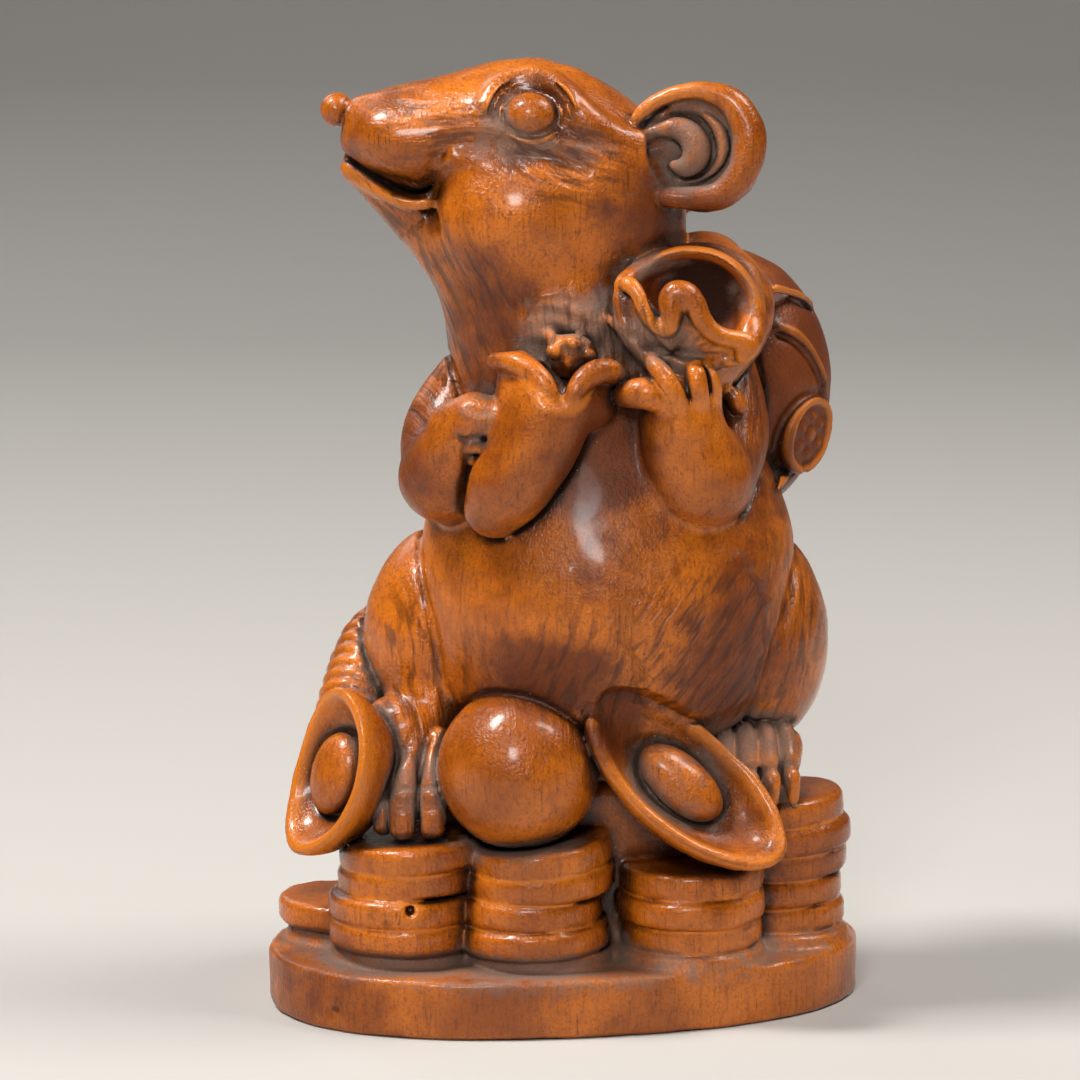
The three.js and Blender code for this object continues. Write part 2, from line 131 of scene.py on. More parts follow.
# %% Eggs, limbs and slabs
def turned(angles):
    """A rotation from degrees about X, then Y, then Z."""
    a, b, c = (math.radians(v) for v in angles)
    rx = np.array([[1, 0, 0], [0, math.cos(a), -math.sin(a)], [0, math.sin(a), math.cos(a)]])
    ry = np.array([[math.cos(b), 0, math.sin(b)], [0, 1, 0], [-math.sin(b), 0, math.cos(b)]])
    rz = np.array([[math.cos(c), -math.sin(c), 0], [math.sin(c), math.cos(c), 0], [0, 0, 1]])
    return rz @ ry @ rx


def facing(way, along=(1, 0, 0)):
    """A rotation that turns +Z to a direction, and +X as near as can be to another."""
    z = np.array(way, float)
    z /= np.linalg.norm(z)
    y = np.cross(z, along)
    y /= np.linalg.norm(y)
    return np.stack([np.cross(y, z), y, z], axis=1)


def local(middle, turn, x, y, z):
    """Points in a form's own frame."""
    x, y, z = x - middle[0], y - middle[1], z - middle[2]
    return [turn[0, i] * x + turn[1, i] * y + turn[2, i] * z for i in range(3)]


def egg_distance(spot, half, least=1e-3):
    """Distance to an egg, or to an oval if two sizes are given, from offsets to its middle."""
    near = np.sqrt(sum((p / size) ** 2 for p, size in zip(spot, half)))
    slope = np.sqrt(sum((p / size**2) ** 2 for p, size in zip(spot, half)))
    return near * (near - 1) / np.maximum(slope, least)


def egg(middle, half, angles=(0, 0, 0), turn=None):
    """An egg from its middle and half-sizes."""
    middle = np.asarray(middle, float)
    turn = turned(angles) if turn is None else turn
    reach = np.abs(turn) @ np.array(half)

    def distance(x, y, z):
        return egg_distance(local(middle, turn, x, y, z), half, 1e-4)

    return Form(middle - reach, middle + reach, distance)


def smooth_path(stops, count):
    """Points along a smooth curve through the stops, with all their columns."""
    p = np.array(stops, float)
    p = np.vstack([2 * p[0] - p[1], p, 2 * p[-1] - p[-2]])
    t = np.linspace(0, len(stops) - 1, count)
    k = np.minimum(t.astype(int), len(stops) - 2)
    f = (t - k)[:, None]
    a, b, c, d = p[k], p[k + 1], p[k + 2], p[k + 3]
    lift = (2 * a - 5 * b + 4 * c - d) * f**2 + (3 * b - a - 3 * c + d) * f**3
    return b + ((c - a) * f + lift) / 2


THINNEST = 0.05  # no limb tapers to less than this radius


def limb(stops, count=None, flat=1.0, across=None):
    """A round limb through [x, y, z, radius] stops; flat squeezes it along a direction."""
    path = smooth_path(stops, count or 4 * len(stops) - 3)
    path[:, 3] = np.maximum(path[:, 3], THINNEST)
    reach = path[:, 3].max()

    def distance(x, y, z):
        best = None
        for p, q in zip(path[:-1], path[1:]):
            way = q[:3] - p[:3]
            length = max(way @ way, 1e-9)
            u, v, w = x - p[0], y - p[1], z - p[2]
            t = np.clip((u * way[0] + v * way[1] + w * way[2]) / length, 0, 1)
            u, v, w = u - t * way[0], v - t * way[1], w - t * way[2]
            square = u * u + v * v + w * w
            if across is not None:
                thin = u * across[0] + v * across[1] + w * across[2]
                square = square + thin * thin * (1 / flat**2 - 1)
            d = np.sqrt(square) - (p[3] + t * (q[3] - p[3]))
            best = d if best is None else np.minimum(best, d)
        return best

    return Form(path[:, :3].min(0) - reach, path[:, :3].max(0) + reach, distance)


def slab(middle, outline, half_height, edge, turn, reach):
    """A flat piece with rounded edges: outline gives the distance within its plane."""

    def distance(x, y, z):
        u, v, w = local(middle, turn, x, y, z)
        side = outline(u, v) + edge
        top = np.abs(w) - (half_height - edge)
        outside = np.sqrt(np.maximum(side, 0) ** 2 + np.maximum(top, 0) ** 2)
        return np.minimum(np.maximum(side, top), 0) + outside - edge

    size = np.abs(turn) @ np.array([reach, reach, half_height])
    return Form(middle - size, middle + size, distance)


def disc(middle, radius, height, edge=0.5, angles=(0, 0, 0), turn=None):
    """A coin, or any short round piece."""
    turn = turned(angles) if turn is None else turn

    def round_edge(u, v):
        return np.sqrt(u * u + v * v) - radius

    return slab(np.asarray(middle, float), round_edge, height / 2, edge, turn, radius)


def laid(points, proud=0.0, side=-1):
    """Stops for a limb that lies on the wood, from [x, z, radius] points."""
    return [[x, surface_y(x, z, side) + side * proud, z, radius] for x, z, radius in points]


print("forms ready: egg, limb, slab and disc")

# %% [markdown]
# ## The plinth
# An oval slab about 57 mm long, a little squarer than an ellipse, turned so that its right end
# lies further back. Its edges are only just broken, as a file leaves them.

# %% Plinth
PLINTH = (57.0, 37.0, 5.6)  # length, width, height
PLINTH_TURN = 12.0
PLINTH_EDGE = 0.55
OVAL = 2.25  # 2 is an ellipse


def oval(u, v, a=PLINTH[0] / 2, b=PLINTH[1] / 2):
    share = (np.abs(u / a) ** OVAL + np.abs(v / b) ** OVAL) ** (1 / OVAL)
    return np.sqrt(u * u + v * v) * (1 - 1 / np.maximum(share, 0.05))


half_height = PLINTH[2] / 2
plinth_middle = np.array([0, 0, half_height])
plinth_turn = turned((0, 0, PLINTH_TURN))
slab(plinth_middle, oval, half_height, PLINTH_EDGE, plinth_turn, reach=29).join(0)
print("plinth joined")

# %% [markdown]
# ## The coins
# Eight uneven stacks. Every coin is a disc with a rounded edge that is shifted and tilted a
# little against the one below, so the stacks read as loose money. The lowest coins are half sunk
# in the plinth, and the wood between the stacks is left standing under the rump.

# %% Coin stacks
COIN_RADIUS = 6.9
COIN_THICK = 2.6
COIN_EDGE = 0.72
LAP = 0.04  # how far each coin reaches into the next
STACKS = [  # place as a share of the plinth, then each coin's x and y shift and its tilts
    (-0.71, 0.02, [(0.2, 0, 0, 1), (-0.3, 0.2, -1, 2)]),
    (-0.535, -0.45, [(0, 0.6, 0, 0), (0, 0, 0, 0), (0, 0, 0, 0), (0.5, 0.3, 0, -3),
                     (1, 0.4, 1, -4)]),
    (-0.09, -0.53, [(0.2, 0.8, 0, 0), (-0.2, 0, 1, -2), (-0.5, 0, 0, -1), (0.3, 0.3, 0, -4),
                    (0.3, 0, 2, -6)]),
    (0.42, -0.46, [(-0.2, 0.2, 0, 0), (0, 0.4, 0, -1), (0, 0, 0, -1), (0.2, 0.5, 0, -2)]),
    (0.70, 0.02, [(0.9, -0.5, 0, 0), (0.1, 0.6, 0, 0), (0, 0, 0, -1), (0.2, 0.3, 0, -2),
                  (0.5, -0.2, 1, -3), (0.1, -0.4, 1, -4)]),
    (0.45, 0.53, [(0, 0, 0, 0), (0.4, 0.2, 1, 0), (-0.3, 0.4, 0, 2), (0.2, 0, 1, -1)]),
    (-0.02, 0.55, [(0.3, 0.2, 0, 0), (-0.3, 0, 0, 1), (0.2, 0.3, -1, 1), (0, -0.2, 1, 2),
                   (0.3, 0, 1, 1)]),
    (-0.46, 0.47, [(0, 0, 0, 0), (0.3, 0.3, 1, -1), (-0.2, 0, -1, 1), (0.3, 0.2, 0, 0)]),
]
COIN_SPREAD = (-0.2, 0.15, -0.1, 0.2)  # how much wider or narrower each coin is
SUNK = 0.5 * COIN_THICK
CORE_MIDDLE = np.array([1.0, 1.6, 13.5])  # the wood left standing between the stacks
CORE_HALF = (17.0, 9.2, 8.6)
CORE_EDGE = 1.5


def core_outline(u, v):
    return np.sqrt((u / CORE_HALF[0]) ** 2 + (v / CORE_HALF[1]) ** 2) * CORE_HALF[1] - CORE_HALF[1]


core = slab(CORE_MIDDLE, core_outline, CORE_HALF[2], CORE_EDGE, turned((0, 0, 0)), reach=18)
core.join(0.4)
made = 0
for share_x, share_y, coins in STACKS:
    for level, (dx, dy, tilt_x, tilt_y) in enumerate(coins):
        foot = PLINTH[2] - SUNK + level * COIN_THICK
        x = share_x * PLINTH[0] / 2 + dx
        y = share_y * PLINTH[1] / 2 + dy
        middle = (x, y, foot + COIN_THICK / 2)
        radius = COIN_RADIUS + COIN_SPREAD[(level + made // 4) % 4]
        coin = disc(middle, radius, COIN_THICK + LAP, COIN_EDGE, (tilt_x, tilt_y, 0))
        coin.join(0.0 if level else 0.9, spare=2.5)
        made += 1
print(made, "coins")

# %% [markdown]
# ## The body
# The torso is a stack of ovals, narrow at the neck and round at the belly. Thighs and rump are
# eggs, and the thighs are set against the belly with a carved line, as the chisel outlines them.
# The tail comes round the right hip, its rings cut as shallow grooves.


# %% Torso, thighs and tail
def ovals_up(levels):
    """A form from [height, middle x, middle y, half width, half depth] slices."""
    table = np.array(levels, float)
    fine = smooth_path(levels, 60)

    def distance(x, y, z):
        level = np.clip(z, table[0, 0], table[-1, 0])
        cx, cy, rx, ry = (np.interp(level, fine[:, 0], fine[:, i]) for i in range(1, 5))
        past = np.maximum(table[0, 0] - z, z - table[-1, 0])
        return np.maximum(egg_distance((x - cx, y - cy), (rx, ry)), past)

    reach = table[:, 3:5].max(0)
    low = [table[:, 1].min() - reach[0], table[:, 2].min() - reach[1], table[0, 0]]
    high = [table[:, 1].max() + reach[0], table[:, 2].max() + reach[1], table[-1, 0]]
    return Form(low, high, distance)


def join_eggs(table):
    """Joins eggs from rows of middle, half sizes, degrees, softness and carved line."""
    for middle, half, angles, soft, groove in table:
        egg(middle, half, angles).join(soft, groove)


TORSO = [  # height, middle x and y, half width, half depth
    (22, 3.5, 1, 8.5, 7),
    (24, 3.5, 1, 11, 9),
    (28, 3.8, 0, 14.6, 13),
    (32, 4, -0.4, 16.8, 14.4),
    (37, 4, -0.6, 17.9, 15),
    (42, 4, -0.6, 18, 14.8),
    (47, 4.1, -0.2, 17.2, 13.9),
    (54, 3.2, 0.3, 15, 12.1),
    (62, 0.7, 0.2, 11.2, 10),
    (72, -0.6, 0, 9.6, 8.4),
]
ovals_up(TORSO).join(0.5)
join_eggs([
    ((3.2, 5, 28.5), (14.5, 11.5, 10.5), (0, 0, 0), 1.5, 0),  # rump
    ((-11.9, 1.8, 35.6), (7.3, 8.4, 9.8), (0, 8, 0), 0.3, 0.3),  # right thigh
    ((17.8, 1.4, 35.2), (7.5, 8.8, 10.8), (0, -6, 0), 0.3, 0.3),  # left thigh
])
# The lower legs
limb([[-12.4, -1.6, 30, 4.6], [-13.4, -4.0, 26.2, 3.4]]).join(0.8)
limb([[18.2, 0.6, 29, 4.8], [18.2, -1.2, 26.4, 3.6]]).join(0.8)

TAIL = [
    [7, 10, 24, 4], [-2, 14.6, 26, 4.6], [-11.5, 12.2, 31.5, 5], [-16.8, 6, 33.2, 4.3],
    [-20, 0.6, 28.4, 3.7], [-20.6, -4, 22.8, 2.6],
]
limb(TAIL, 40).join(0.5, groove=0.4)
rings = smooth_path(TAIL, 34)
RING_DEPTH = 0.28
RING_PAST = 0.06  # how far a cut reaches past the tail, so that it spares the thigh
RING_WIDTH = 0.5
for before, here, after in zip(rings[3:-3], rings[4:-2], rings[5:-1]):
    way = facing(after[:3] - before[:3], (0, 0.3, 1))
    groove = disc(here[:3], here[3] + RING_PAST, RING_WIDTH, 0.2, turn=way)
    inner = here[3] - RING_DEPTH
    whole = groove.distance

    def ring_only(x, y, z, whole=whole, here=here, inner=inner):
        far = np.sqrt((x - here[0]) ** 2 + (y - here[1]) ** 2 + (z - here[2]) ** 2)
        return np.maximum(whole(x, y, z), inner - far)

    groove.distance = ring_only
    groove.cut(0.3, 0.8)
print("body and tail joined")

# %% [markdown]
# ## The feet
# Each foot is two eggs with long toes. The left foot's toes are bent limbs that end in a claw
# hooked over the coins. The right foot is seen from the side, its toes hang down past the pearl,
# and short cuts across them give the joints.

# %% Feet
join_eggs([
    ((17.6, -2.2, 24.6), (5.2, 5.0, 3.6), (16, 0, 0), 0.5, 0.3),  # left foot, and its front
    ((17.4, -4.6, 23.6), (5.0, 3.2, 2.9), (24, 0, 0), 0.6, 0),
    ((-14.0, -5.6, 24.0), (4.4, 4.2, 3.4), (16, 0, 0), 0.6, 0.2),  # right foot, and its front
    ((-14.8, -8.4, 21.8), (3.2, 1.9, 3.4), (14, 0, 0), 0.5, 0),
])
RIGHT_TOES = [  # ankle, knuckle, middle and tip of each toe
    [(-15.4, -6.4, 25.4, 1.0), (-16.6, -8.6, 23.5, 1.2),
     (-17.0, -9.8, 21.2, 1.3), (-17.1, -10.3, 18.8, 1.1)],
    [(-13.5, -7.0, 26.0, 1.2), (-14.6, -9.3, 23.8, 1.5),
     (-15.0, -10.8, 21.2, 1.6), (-15.1, -11.2, 18.6, 1.4)],
    [(-11.8, -7.4, 26.2, 1.2), (-12.2, -9.5, 23.9, 1.5),
     (-12.4, -11.0, 21.3, 1.6), (-12.5, -11.4, 18.7, 1.4)],
]
JOINT_CUTS = (7, 9, 10)  # points along a toe that have a cut across it
JOINT_ENDS = ((-1.2, -1.35, 0.5), (1.2, -1.35, 0.8))  # the cut's ends, from that point
JOINT_RADIUS = 0.26
for toe in RIGHT_TOES:
    limb(toe).join(0.12, groove=0.3)
    for k in JOINT_CUTS:
        spot = smooth_path(toe, 13)[k, :3]
        limb([[*(spot + end), JOINT_RADIUS] for end in JOINT_ENDS]).cut(0.15)
LEFT_TOES = ((13.2, -0.6), (15.1, -0.3), (17.2, 0.1), (19.2, 0.4), (21.1, 0.8))  # x, lean
for x, lean in LEFT_TOES:
    back = max(0.0, x - 18.5) * 0.7  # the outer toes sit further back
    ankle = (x - lean, -2.6, 27.2, 1.1)
    knuckle = (x - 0.3 * lean, -5.8 + back, 26.0, 1.25)
    limb([ankle, knuckle, (x, -7.8 + back, 23.8, 1.2)]).join(0.3, groove=0.2)
    hook = (x + 0.4, -8.9 + back, 22.3, 0.85)
    claw = [(x + 0.1, -8.0 + back, 23.4, 0.9), hook, (x + 0.6, -8.9 + back, 20.4, 0.5)]
    limb(claw).join(0.12, groove=0.25)
print("feet joined")

# %% [markdown]
# ## Pearl and ingots
# The pearl is a plain ball. A boat ingot is an oval hull with raised ends, hollowed to a dish,
# with an egg-shaped boss rising from its middle. The hull and the dish are eggs bent upwards
# along the length, cut off level with the rim.


# %% Pearl and ingots
def bent_egg(middle, turn, half, lift, below=None):
    """An egg in an ingot's own frame, its ends lifted, kept below a level if one is given."""
    bend = lift / half[0] ** 2
    body = egg((0, 0, 0), half)
    reach = np.abs(turn) @ np.array([half[0], half[1], half[2] + lift])

    def distance(x, y, z):
        u, v, w = local(middle, turn, x, y, z)
        w = w - bend * u * u
        d = body.distance(u, v, w)
        return d if below is None else -soft_min(-d, below - w, 0.5)

    return Form(middle - reach, middle + reach, distance)


def ingot(middle, length, width, lengthways, mouth, boss_size, lift=1.3):
    """An ingot from its middle, its size, and the ways that its length and mouth face."""
    turn = facing(mouth, lengthways)
    a, b = length / 2, width / 2
    middle = np.array(middle, float)
    up = turn[:, 2]
    # The bed is cleared first, then come the hull, the dish, the rim and the boss.
    bent_egg(middle + up * 3.4, turn, (a * 0.98, b * 0.98, 3.4), lift).cut(0.4)
    hull = bent_egg(middle + up * 1.6, turn, (a * 1.04, b * 1.05, 6.2), lift, below=0.75)
    hull.join(0.35, groove=0.3)
    bent_egg(middle + up * 2.9, turn, (a * 0.92, b * 0.88, 3.3), lift).cut(0.45)
    ring = []
    for degrees in range(0, 361, 20):
        u = 0.6 * a * math.cos(math.radians(degrees))
        v = 0.72 * b * math.sin(math.radians(degrees))
        ring.append([*(middle + turn @ np.array([u, v, lift * (u / a) ** 2 + 0.1])), 0.5])
    limb(ring, 37).join(0.5)
    boss_half = (a * 0.44 * boss_size, b * 0.54 * boss_size, 2.6)
    boss = bent_egg(middle + up * 0.5, turn, boss_half, lift * 0.3)
    boss.join(0.15, groove=0.35)


PEARL = 7.7  # radius
egg((-4.3, -10.6, 24.2), (PEARL, PEARL, PEARL)).join(0.2, groove=0.25)
egg((-15.0, -4.9, 26.4), (4.4, 3.6, 3.6), (0, 20, 0)).join(0.5)  # the bed of the right ingot
INGOT_WIDTH = 10.3
ingot((-20.6, -8.0, 23.0), 15.8, INGOT_WIDTH, (0.44, 0.14, 0.89), (-0.78, -0.58, 0.25), 1.2)
ingot((10.7, -12.1, 22.9), 22.6, INGOT_WIDTH, (0.75, -0.1, -0.66), (0.22, -0.87, 0.44), 0.97)
print("pearl and ingots joined")

# %% [markdown]
# ## Neck and head
# The head is a row of oval slices from the nose back, so the profile follows their tops.
# Cheeks, throat and neck flow into it. The eye is a ball set into the skull, framed by lids that
# are thin limbs laid on the surface around it, and the mouth is one long slit under the muzzle.

# %% Head
SKULL = [  # x, middle y, top z, half height, half width
    (-21.1, -1.3, 84.7, 1.7, 1.6),
    (-20.4, -1.3, 86.0, 2.7, 2.6),
    (-19.2, -1.3, 86.7, 3.3, 3.5),
    (-17.6, -1.2, 87.2, 3.8, 4.3),
    (-14.5, -1.0, 88.0, 4.7, 5.4),
    (-11, -0.8, 88.8, 6.1, 6.7),
    (-7, -0.6, 89.8, 8.3, 8),
    (-2.5, -0.5, 90, 9.9, 9),
    (2, -0.4, 88.8, 9.8, 9.2),
    (6, -0.3, 86.4, 8.8, 8.6),
    (9, -0.2, 83.4, 6.8, 6.8),
    (10.6, -0.2, 80.2, 3.9, 4),
]
skull_fine = smooth_path(SKULL, 120)


def skull_slice(x):
    """Middle y, middle z, half height and half width of the head at x."""
    my, top, rz, ry = (np.interp(x, skull_fine[:, 0], skull_fine[:, i]) for i in range(1, 5))
    return my, top - rz, rz, ry


def skull_distance(x, y, z):
    my, mz, rz, ry = skull_slice(np.clip(x, SKULL[0][0], SKULL[-1][0]))
    side = egg_distance((y - my, z - mz), (ry, rz))
    past = np.maximum(SKULL[0][0] - x, x - SKULL[-1][0])
    return -soft_min(-side, -past, 1.2)


def on_skull(x, z, side=-1):
    """The head's surface y at a place in profile."""
    my, mz, rz, ry = skull_slice(x)
    return float(my + side * ry * math.sqrt(max(0.04, 1 - ((z - mz) / rz) ** 2)))


THROAT = [
    [-19.3, -1.2, 79.5, 1.4], [-15.1, -1.1, 77.1, 2.9], [-9.9, -0.9, 74.4, 5.2],
    [-4.6, -0.6, 71, 7.8], [-0.8, -0.2, 65.5, 9.5], [1.4, 0, 60, 10.8],
]
limb(THROAT, 30).join(3.0)
Form((-22, -11, 68), (12, 11, 91), skull_distance).join(2.0)
egg((3.5, -0.3, 75), (7.2, 7.8, 8)).join(3.0)
CHEEK_VALLEY = [(-11.9, 80.0, 0.5), (-11.2, 82.0, 0.9), (-8.6, 83.0, 1.1), (-5.0, 82.0, 1.0),
                (-1.6, 81.8, 1.0), (1.4, 81.0, 0.8)]
CHEEK_EDGE = [(-12.1, 79.2, 0.5), (-12.7, 77.8, 0.8), (-12.6, 76.2, 0.7), (-12.0, 74.6, 0.3)]
WHISKER_FOLD = [(-11.1, 83.1, 0.3), (-10.4, 82.3, 0.5), (-10.6, 81.3, 0.5), (-11.6, 80.6, 0.35)]
for side in (-1, 1):
    egg((-4.0, side * 4.6 - 0.6, 75.6), (7.9, 6.1, 7.2)).join(1.6)
    egg((-14.5, side * 3.2 - 1.1, 82.6), (5.2, 2.9, 3.2), (0, 12, 0)).join(1.2)
    limb(laid(CHEEK_VALLEY, 0.25, side), 20).cut(1.2)
    limb(laid(CHEEK_EDGE, 0.05, side), 14).cut(0.7)
    limb(laid(WHISKER_FOLD, -0.15, side), 12).join(0.5)

EYE = (-3.1, 85.45)
EYE_HALF = (2.75, 2.5, 2.2)
BROW = [  # x, z and radius
    (-7.6, 85.9, 0.5), (-6.7, 87.5, 0.8), (-4.9, 88.6, 1.1), (-2.4, 88.6, 1.4), (-0.6, 87.6, 1.5),
    (0.7, 86.1, 1.6), (2.2, 84.9, 1.5), (3.7, 84.1, 1.2), (4.9, 83.4, 1.0), (6.0, 83.0, 0.9),
]
LIDS = [  # first and last degree round the ball, distance from it, radius, height
    (205, -25, 0.1, 0.36, 0.45),
    (200, -20, 0.8, 0.32, 0.25),
    (195, -10, 1.45, 0.32, 0.15),
    (335, 212, 0.15, 0.32, 0.1),
    (350, 222, 1.0, 0.3, 0.0),
]
LID_END = 0.15  # radius that a lid tapers to
EYE_CREASE = [(-0.4, 85.0, 0.3), (0.2, 83.9, 0.4), (1.4, 83.2, 0.4), (3.2, 82.8, 0.35),
              (5.4, 82.2, 0.3)]
for side in (-1, 1):
    eye_y = on_skull(*EYE, side)
    brow = [[x, on_skull(x, z, side) - side * 0.2, z, radius] for x, z, radius in BROW]
    limb(brow, 36).join(1.0)
    lids = []
    for first, last, gap, radius, proud in LIDS:
        arc = []
        for degrees in np.linspace(first, last, 9):
            a = math.radians(degrees)
            x = EYE[0] + (EYE_HALF[0] + gap) * math.cos(a)
            z = EYE[1] + (EYE_HALF[2] + gap) * math.sin(a)
            arc.append((x, z, radius))
        arc[0] = (*arc[0][:2], LID_END)
        arc[-1] = (*arc[-1][:2], LID_END)
        lids.append(laid(arc, proud, side))
    for arc in lids:
        limb(arc, 27).join(0.3, groove=0.15)
    ball = egg((EYE[0], eye_y - 0.75 * side, EYE[1]), EYE_HALF)
    ball.join(0.05, groove=0.18)
    limb(laid(EYE_CREASE, 0.1, side), 16).cut(0.4)

# The nose, the lips and the slit between them
limb([[-19.6, -1.3, 84.9, 1.6], [-21.2, -1.4, 85.2, 1.0]]).join(0.6)
egg((-21.35, -1.4, 85.35), (1.7, 1.75, 1.72)).join(0.2, groove=0.2)
SLIT = [  # x, z and half its opening
    (-22.6, 81.8, 0.45), (-20.3, 80.9, 0.3), (-18.9, 80.0, 0.24), (-17.5, 79.1, 0.22),
    (-15.9, 78.3, 0.23), (-14.2, 77.9, 0.25), (-12.9, 78.1, 0.24), (-12.2, 78.8, 0.15),
]
LIP_WIDTHS = (0.8, 1.7, 2.6, 3.5, 4.4, 5.0)
for side in (-1, 1):
    lip = [[x, side * w - 1.2, z - 1.05, 0.5] for (x, z, _), w in zip(SLIT[1:-1], LIP_WIDTHS)]
    limb(lip, 20).join(1.2)
slit = limb([[x, -1, z, r] for x, z, r in SLIT], 26, flat=100.0, across=(0, 1, 0))
slit.low[1], slit.high[1] = -9, 7
slit.cut(0.15, depth=1.6)
# The tongue closes the slit inside, so that no light comes through.
tongue = [[x, -1.1, z, 0.9] for x, z, _ in SLIT[1:-2]]
tongue[0][3] = 0.55
limb(tongue, 18).join(0.1)
print("head joined; eye at y", round(on_skull(*EYE), 2))

# %% [markdown]
# ## The ears
# A round cup with a thick rolled rim. Inside it a hooked fold runs in from the front and a second
# ridge follows the rim at the back, with a deep dark pocket between them. The far ear has the
# same shape, but plainer.


# %% Ears
def ear(middle, radius, way, detail):
    """A cup with a rim, and with the carved folds if detail is wanted."""
    turn = facing(way, (1, 0, 0.02))
    middle = np.array(middle, float)

    def place(stops, depth):
        return [[*(middle + turn @ np.array([u, v, depth])), size] for u, v, size in stops]

    egg(middle - turn[:, 2] * 0.6, (radius * 0.96, radius * 0.96, 2.1), turn=turn).join(0.8)
    egg(middle + turn[:, 2] * 1.5, (radius * 0.8, radius * 0.8, 2.3), turn=turn).cut(0.4)
    if not detail:
        around = np.radians(range(-160, 161, 20))
        ring = radius * 0.86
        rim = [(math.cos(a) * ring, math.sin(a) * ring, radius * 0.16) for a in around]
        limb(place(rim, 0.45), 44).join(0.25, groove=0.2)
        return
    limb(place(EAR_RIM, 0.4), 44).join(0.25, groove=0.2)
    limb(place(EAR_RIDGE, -0.4), 22).join(0.35, groove=0.25)
    limb(place(EAR_HOOK, 0.3), 30).join(0.25, groove=0.28)
    limb(place(EAR_SLOT, 0.3), 14).cut(0.25)


EAR_RIM = [  # to the right and up in the ear's own frame, and radius
    (-7.1, 0.5, 0.7), (-5.5, 3.5, 0.8), (-2.9, 5.0, 0.85), (-0.1, 5.4, 0.95), (2.7, 4.5, 1.25),
    (4.2, 2.4, 1.5), (4.5, 0.3, 1.6), (3.8, -2.2, 1.5), (1.6, -4.1, 1.3), (-1.2, -4.5, 1.15),
    (-3.9, -4.2, 1.1), (-5.8, -3.4, 0.9),
]
EAR_RIDGE = [(-3.4, 3.7, 0.4), (-0.6, 3.7, 0.6), (1.3, 2.3, 0.65), (2.0, 0.4, 0.65),
             (1.4, -1.5, 0.6), (-0.2, -2.8, 0.5), (-2.4, -3.0, 0.4)]
EAR_SLOT = [(-5.6, -0.1, 0.4), (-4.3, 0.3, 0.6), (-3.2, 0.5, 0.75), (-2.6, -0.1, 0.7)]
EAR_HOOK = [
    (-6.3, 0.5, 0.5), (-5.1, 1.5, 0.85), (-3.8, 2.0, 1.0), (-2.4, 2.1, 1.1), (-1.1, 1.4, 1.25),
    (-0.5, 0.2, 1.3), (-0.7, -1.0, 1.2), (-1.6, -1.6, 0.95), (-2.7, -1.4, 0.5),
]
# The roots of both ears, then the ears
limb([[4.4, -4.2, 80.6, 4.2], [8.2, -5.2, 81.4, 3.2]]).join(1.5)
limb([[3.6, 3.6, 79.6, 4], [7.4, 5.4, 79.6, 3.2]]).join(1.5)
ear((12.8, -6.4, 82.1), 6.15, (-0.12, -0.97, 0.1), True)
ear((9.4, 7.6, 79.6), 6.0, (-0.42, 0.88, 0.14), False)
print("ears joined")

# %% [markdown]
# ## Arms and pod
# Both forearms are folded to the chest, each arm two limbs that meet at the elbow. The pod is a
# smooth tapered form with two lips that curl outwards, and a knobbly seed between them.

# %% Arms and pod
ARMS = [  # softness, carved line and the stops of each upper arm and forearm
    (0.8, 0.35, [[13.5, -1, 61, 4.6], [14.9, -4.2, 55.5, 4.4], [13.6, -8.4, 51.4, 4.3]]),
    (0.9, 0, [[12.7, -10.2, 51.9, 4.9], [11.2, -11.4, 55.4, 4.1], [10.4, -11.7, 59.2, 3.3]]),
    (0.9, 0.3, [[-7.2, 0.4, 59.6, 4.6], [-10.4, -1.6, 55, 4.8], [-11, -6, 51.6, 4.4]]),
    (0.9, 0, [[-11, -7.4, 51.4, 4.5], [-10, -10, 55, 3.2], [-8.2, -11.4, 57.6, 2.4]]),
]
for soft, groove, stops in ARMS:
    limb(stops, 14).join(soft, groove)

POD = [[-6.5, -12, 49.4, 3], [-4.9, -12.8, 52, 4], [-3, -13, 55.5, 4.3], [-1.4, -13, 59, 4.3]]
limb(POD, 16).join(0.3, groove=0.3)
egg((-1.0, -12.4, 59.4), (5.0, 3.6, 3.4)).join(1.0)
limb([[-4.0, -11.8, 59.6, 2.4], [-4.4, -12.0, 62.2, 1.8]]).join(0.8)
limb([[2.4, -12, 59.2, 2.4], [3.0, -12, 61.4, 1.7]]).join(0.8)
egg((-0.4, -15.4, 62.6), (2.3, 4.2, 3.6), (-12, 4, 0)).cut(0.6)
LIPS = [
    [(-6.4, -12.2, 63.0, 0.9), (-4.6, -14.0, 63.0, 1.1), (-2.8, -15.1, 62.2, 1.15),
     (-1.5, -15.9, 60.8, 0.95), (-0.5, -16.2, 58.8, 0.5)],
    [(0.0, -16.2, 58.9, 0.5), (0.9, -15.9, 60.7, 0.95), (2.1, -15.1, 62.0, 1.15),
     (3.9, -14.2, 62.4, 1.1), (5.3, -12.8, 61.5, 0.9)],
]
for lip in LIPS:
    limb(lip).join(0.5)
SEED = (0.6, 63.4)  # x and z of the seed between the lips
egg((SEED[0], -11.6, SEED[1]), (2.4, 2, 2.1)).join(0.3, groove=0.3)
for dx, dz, r in ((-1.5, 0.5, 0.9), (0.2, 1.3, 0.95), (1.6, 0.3, 0.8), (-0.2, -0.6, 1.0)):
    knob = egg((SEED[0] + dx, -13.0, SEED[1] + dz), (r, 0.8, r * 0.8), (0, 35, 0))
    knob.join(0.3, groove=0.15)
print("arms and pod joined")

